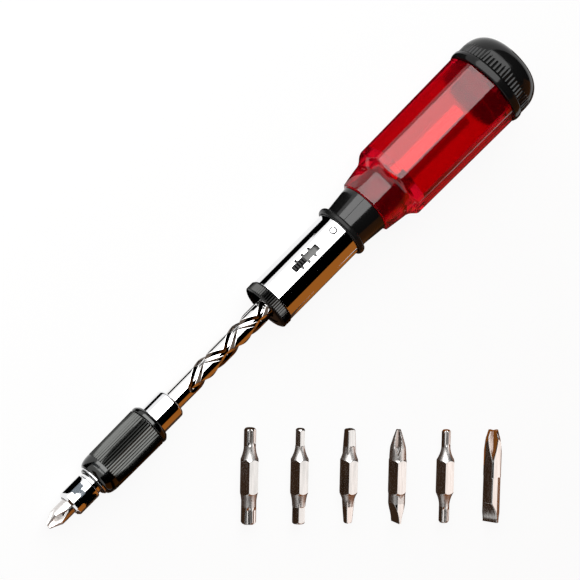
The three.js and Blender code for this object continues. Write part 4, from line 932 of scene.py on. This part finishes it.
kept_nodes = {
    "holder_magnet": inner_steel,
    "holder_clip": spring_steel,
    "spindle_stop": inner_steel,
    "lock_ring_clip": spring_steel,
    "lock_ball": inner_steel,
    "nose_bush": smooth_oxide,
    "selector_slide": slide_steel,
    "selector_button": soft_black,
    "right_drive_nut": nut_brass,
    "left_drive_nut": nut_brass,
    # Painted shade: the ratchet housing takes the dark slide steel, for the shade inside the barrel under
    # the slot
    "ratchet_housing": slide_steel,
    "right_pawl": inner_steel,
    "left_pawl": inner_steel,
    "right_pawl_spring": spring_steel,
    "left_pawl_spring": spring_steel,
    "spring_tube": spring_tube_steel,
    "spring_follower": inner_steel,
    "spring_seat": soft_black,
    "cap_gasket": rubber,
}
for node, material in kept_nodes.items():
    for slot in nodes[node].material_slots:
        slot.material = material


def press(spring):
    """Give a spring a mesh of its own."""
    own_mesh(spring)


press(return_spring)
press(chuck_spring)

BUTTON_EDGE = 0.08
edge = nodes["selector_button"].modifiers.new("edges", "BEVEL")
edge.width = BUTTON_EDGE * MM
edge.segments = 2

# Camera at the photograph's angle, from the tip side and above
SIDE_DEG = 30.74  # away from straight up, towards +Y
LEAN_DEG = 12.835  # towards the tip
ROLL_DEG = 45.213
DISTANCE = 1.3547
FOCAL_PER_METRE = 2844.7  # image pixels for each unit of size over distance
IMAGE_WIDTH = 580
SENSOR_WIDTH = 36
AIM_STATION = 119.0
AIM_RIGHT = 1.67
AIM_UP = -0.779


def make_camera():
    lean, side, roll = (math.radians(v) for v in (LEAN_DEG, SIDE_DEG, ROLL_DEG))
    upward = AXIS.cross(Vector((0, 1, 0)))
    towards = math.cos(side) * upward + math.sin(side) * Vector((0, 1, 0))
    back = (math.cos(lean) * towards - math.sin(lean) * AXIS).normalized()
    along = ((AXIS + math.sin(lean) * back) / math.cos(lean)).normalized()
    across = back.cross(along)
    right = math.cos(roll) * along - math.sin(roll) * across
    up = math.sin(roll) * along + math.cos(roll) * across
    target = on_axis(AIM_STATION) + right * (AIM_RIGHT * MM) + up * (AIM_UP * MM)
    camera = bpy.data.objects.new("camera", bpy.data.cameras.new("camera"))
    camera.data.sensor_width = SENSOR_WIDTH
    camera.data.lens = FOCAL_PER_METRE * DISTANCE / IMAGE_WIDTH * SENSOR_WIDTH
    camera.data.clip_end = 20
    turn = Matrix((right, up, back)).transposed().to_4x4()
    camera.matrix_world = Matrix.Translation(target + back * DISTANCE) @ turn
    bpy.context.scene.collection.objects.link(camera)
    bpy.context.scene.camera = camera


make_camera()


# Studio, in metres: pale floor, one large softbox and cards that give the metal something to mirror
FLOOR_HALF = 3.0
FLOOR_GLOW_SHARE = 0.92
WORLD_STRENGTH = 0.35
SOFTBOX_GLOW = 3.6
SOFTBOX_SIZE = (1.5, 0.85)
SOFTBOX_ANGLE_DEG = 56
SOFTBOX_DISTANCE = 0.62
SOFTBOX_SHIFT = 0.1
SOFTBOX_TILT = 0.1  # along X for about one unit of distance
SOFTBOX_AIM_HEIGHT = 0.01
CARD_LENGTH = (-0.7, 1.0)  # along X
AXIS_HEIGHT = 0.012  # of the driver, roughly
FLOOR_CARD_Z = 0.0002
FLOOR_PATCH_Z = 0.0003
STRIP_FRONT = TIP.x - 0.012
STRIP_REAR = TIP.x + 0.28
STRIP_NEAR = (-0.004, -0.006)  # from the axis, in front and at the rear
STRIP_FAR = (-0.04, -0.085)
FLAG_R = 0.05
FLAG_SHIFT = 6.7  # in millimetres along the axis
REAR_CARD_X = 0.7
REAR_CARD_HALF = 0.8
REAR_CARD_HEIGHT = 0.62
BITS_MIDDLE = Vector((-0.014, -0.024, HEX_FLATS / 2 * MM))
BIT_CARD_TOWARDS = Vector((-0.889, 0.453, 0))
BIT_CARD_DISTANCE = 0.45
BIT_CARD_HALF = 0.2
BIT_CARD_HEIGHT = 0.2
BIT_FLOOR_CARD = (-0.13, 0.09, -0.5, 0.026)  # left, right, near and far
BIT_FAR_CARD = ((-0.13, -0.06), (-0.13, 0.05), (-0.40, 0.30), (-0.56, 0.02))
BIT_LIGHT_TOWARDS = Vector((0.27, -0.52, 0.81)).normalized()
BIT_LIGHT_GLOW = 1.7
BIT_LIGHT_SIZE = 0.44
BIT_LIGHT_DISTANCE = 0.48


def stage_plane(name, corners, material):
    mesh = bpy.data.meshes.new(name)
    mesh.from_pydata(corners, [], [(0, 1, 2, 3)])
    plane = bpy.data.objects.new(name, mesh)
    plane.data.materials.append(material)
    bpy.context.scene.collection.objects.link(plane)
    return plane


def floor_rectangle(left, right, near, far, height):
    return [(left, near, height), (right, near, height), (right, far, height), (left, far, height)]


def only_mirrored(plane):
    """Show a plane in reflections only: the camera, dull surfaces, shadows and clear plastic miss it."""
    plane.visible_camera = False
    plane.visible_diffuse = False
    plane.visible_shadow = False
    plane.visible_transmission = False


def glowing(name, color, strength):
    material = bpy.data.materials.new(name)
    material.use_nodes = True
    tree = material.node_tree
    tree.nodes.remove(tree.nodes["Principled BSDF"])
    glow = tree.nodes.new("ShaderNodeEmission")
    glow.inputs["Color"].default_value = (*color, 1)
    glow.inputs["Strength"].default_value = strength
    tree.links.new(glow.outputs["Emission"], tree.nodes["Material Output"].inputs["Surface"])
    return material


def seen_directly(tree):
    """One for rays that come from the camera, a mirror or clear plastic, otherwise zero."""
    path = tree.nodes.new("ShaderNodeLightPath")
    total = path.outputs["Is Camera Ray"]
    for kind in ("Is Glossy Ray", "Is Transmission Ray"):
        most = tree.nodes.new("ShaderNodeMath")
        most.operation = "MAXIMUM"
        tree.links.new(total, most.inputs[0])
        tree.links.new(path.outputs[kind], most.inputs[1])
        total = most.outputs["Value"]
    return total


def floor_material():
    material = surface("pale_floor", (0.9, 0.9, 0.9), 0.0, 0.7)
    tree = material.node_tree
    shader = tree.nodes["Principled BSDF"]
    glow = tree.nodes.new("ShaderNodeEmission")
    share = tree.nodes.new("ShaderNodeMath")
    share.operation = "MULTIPLY"
    share.inputs[1].default_value = FLOOR_GLOW_SHARE
    blend = tree.nodes.new("ShaderNodeMixShader")
    tree.links.new(seen_directly(tree), share.inputs[0])
    tree.links.new(share.outputs["Value"], blend.inputs["Fac"])
    tree.links.new(shader.outputs["BSDF"], blend.inputs[1])
    tree.links.new(glow.outputs["Emission"], blend.inputs[2])
    tree.links.new(blend.outputs["Shader"], tree.nodes["Material Output"].inputs["Surface"])
    return material


def make_world():
    world = bpy.data.worlds.new("studio")
    bpy.context.scene.world = world
    world.use_nodes = True
    tree = world.node_tree
    dim = tree.nodes["Background"]
    dim.inputs["Color"].default_value = (1, 1, 1, 1)
    dim.inputs["Strength"].default_value = WORLD_STRENGTH
    white = tree.nodes.new("ShaderNodeBackground")
    white.inputs["Color"].default_value = (1, 1, 1, 1)
    blend = tree.nodes.new("ShaderNodeMixShader")
    tree.links.new(seen_directly(tree), blend.inputs["Fac"])
    tree.links.new(dim.outputs["Background"], blend.inputs[1])
    tree.links.new(white.outputs["Background"], blend.inputs[2])
    tree.links.new(blend.outputs["Shader"], tree.nodes["World Output"].inputs["Surface"])


def make_softbox():
    light = bpy.data.lights.new("softbox", "AREA")
    light.shape = "RECTANGLE"
    light.size, light.size_y = SOFTBOX_SIZE
    light.energy = SOFTBOX_GLOW * math.pi * light.size * light.size_y
    softbox = bpy.data.objects.new("softbox", light)
    angle = math.radians(SOFTBOX_ANGLE_DEG)
    towards = Vector((SOFTBOX_TILT, math.sin(angle), math.cos(angle)))
    aim = Vector((SOFTBOX_SHIFT, TIP.y, SOFTBOX_AIM_HEIGHT))
    place = aim + towards.normalized() * SOFTBOX_DISTANCE
    turn = towards.to_track_quat("Z", "X").to_matrix().to_4x4()
    softbox.matrix_world = Matrix.Translation(place) @ turn
    bpy.context.scene.collection.objects.link(softbox)


def long_card(name, start, end, material):
    """Card along X whose two long edges pass through the points (y, z)."""
    near, far = CARD_LENGTH
    corners = [(near, *start), (far, *start), (far, *end), (near, *end)]
    stage_plane(name, corners, material).visible_camera = False


def round_axis(angle_deg, distance):
    angle = math.radians(angle_deg)
    return (TIP.y + distance * math.sin(angle), AXIS_HEIGHT + distance * math.cos(angle))


def right_strip(material):
    """Dark strip on the floor along the driver's right, wider towards the grip."""
    along = (STRIP_FRONT, STRIP_REAR, STRIP_REAR, STRIP_FRONT)
    aside = (*STRIP_NEAR, *STRIP_FAR[::-1])
    corners = [(x, TIP.y + away, FLOOR_CARD_Z) for x, away in zip(along, aside)]
    only_mirrored(stage_plane("right_strip", corners, material))


def holder_flag(name, start_deg, end_deg, stations, material):
    """Small card beside the bit holder that shows in its polish, at these stations along it."""
    upward = AXIS.cross(Vector((0, 1, 0)))
    corners = []
    for angle, pair in ((start_deg, stations), (end_deg, stations[::-1])):
        turn = math.radians(angle)
        outward = math.cos(turn) * upward + math.sin(turn) * Vector((0, 1, 0))
        corners += [on_axis(station + FLAG_SHIFT) + outward * FLAG_R for station in pair]
    only_mirrored(stage_plane(name, corners, material))


def floor_patch(name, stations, near, far, shift, material):
    """Patch of the floor that the pieces between two stations mirror; shift is along the axis for
    each unit of distance from it."""
    corners = []
    for away, pair in ((near, stations), (far, stations[::-1])):
        for station in pair:
            corners.append((on_axis(station).x + shift * abs(away), TIP.y + away, FLOOR_PATCH_Z))
    only_mirrored(stage_plane(name, corners, material))


def rear_card(material):
    low, high = TIP.y - REAR_CARD_HALF, TIP.y + REAR_CARD_HALF
    outline = [(low, 0), (high, 0), (high, REAR_CARD_HEIGHT), (low, REAR_CARD_HEIGHT)]
    only_mirrored(stage_plane("rear_card", [(REAR_CARD_X, y, z) for y, z in outline], material))


make_world()
make_softbox()
stage_plane("floor", floor_rectangle(-FLOOR_HALF, FLOOR_HALF, -FLOOR_HALF, FLOOR_HALF, 0), floor_material())
black_card = glowing("black_card", (0, 0, 0), 0)
tan_card = glowing("tan_card", (0.40, 0.125, 0.018), 0.85)
brown_card = glowing("brown_card", (0.06, 0.032, 0.018), 1)
grey_card = glowing("grey_card", (0.20, 0.23, 0.26), 1)
long_card("overhead_card", round_axis(17, 0.55), round_axis(-41, 0.62), black_card)
long_card("warm_card", round_axis(-41, 0.64), round_axis(-91.4, 0.55), tan_card)
right_strip(brown_card)
holder_flag("holder_flag_left", 54, 98, (12.6, 20.0), grey_card)
holder_flag("holder_flag_top", 8, 54, (14.4, 18.0), grey_card)
holder_flag("holder_flag_right", -95, -36, (13.3, 20.6), black_card)
floor_patch("holder_patch", (11.6, 20.6), 0.006, 0.08, 0.15, black_card)
floor_patch("ring_patch", (96.0, 111.0), -0.007, 0.007, 0.0, black_card)
floor_patch("chuck_patch", (45.0, 108.0), 0.0105, 0.021, 0.18, black_card)
floor_patch("tube_patch", (104.0, TUBE_END), 0.018, 0.046, 0.236, black_card)
floor_patch("tube_tan_patch", (TUBE_FRONT, TUBE_END), -0.036, -0.55, 0.236, tan_card)
floor_patch("neck_patch", (149.0, GRIP_FRONT), 0.006, 0.06, 0.05, black_card)
floor_patch("grip_patch", (160.5, 222.0), 0.006, 0.04, 0.28, black_card)
rear_card(black_card)


# Reflections for the loose bits: brown cards on their left and under them, and a light over their right
def bit_cards(material):
    across = Vector((BIT_CARD_TOWARDS.y, -BIT_CARD_TOWARDS.x, 0)) * BIT_CARD_HALF
    middle = Vector((BITS_MIDDLE.x, BITS_MIDDLE.y, 0)) + BIT_CARD_TOWARDS * BIT_CARD_DISTANCE
    top = Vector((0, 0, BIT_CARD_HEIGHT))
    upright = [middle - across, middle + across, middle + across + top, middle - across + top]
    under = floor_rectangle(*BIT_FLOOR_CARD, FLOOR_CARD_Z)
    beyond = [(x, y, FLOOR_CARD_Z) for x, y in BIT_FAR_CARD]
    for name, corners in (("bit_card", upright), ("bit_floor_card", under), ("bit_far_card", beyond)):
        only_mirrored(stage_plane(name, corners, material))


def bit_light():
    light = bpy.data.lights.new("bit_light", "AREA")
    light.size = BIT_LIGHT_SIZE
    light.energy = BIT_LIGHT_GLOW * math.pi * light.size ** 2
    lamp = bpy.data.objects.new("bit_light", light)
    place = BITS_MIDDLE + BIT_LIGHT_TOWARDS * BIT_LIGHT_DISTANCE
    turn = BIT_LIGHT_TOWARDS.to_track_quat("Z", "Y").to_matrix().to_4x4()
    lamp.matrix_world = Matrix.Translation(place) @ turn
    bpy.context.scene.collection.objects.link(lamp)
    lit = bpy.data.collections.new("loose_bits")
    for bit in loose_bits:
        lit.objects.link(bpy.data.objects[f"{bit}_skin"])
    lamp.light_linking.receiver_collection = lit


bit_cards(brown_card)
bit_light()

bpy.context.scene.view_settings.view_transform = "Standard"
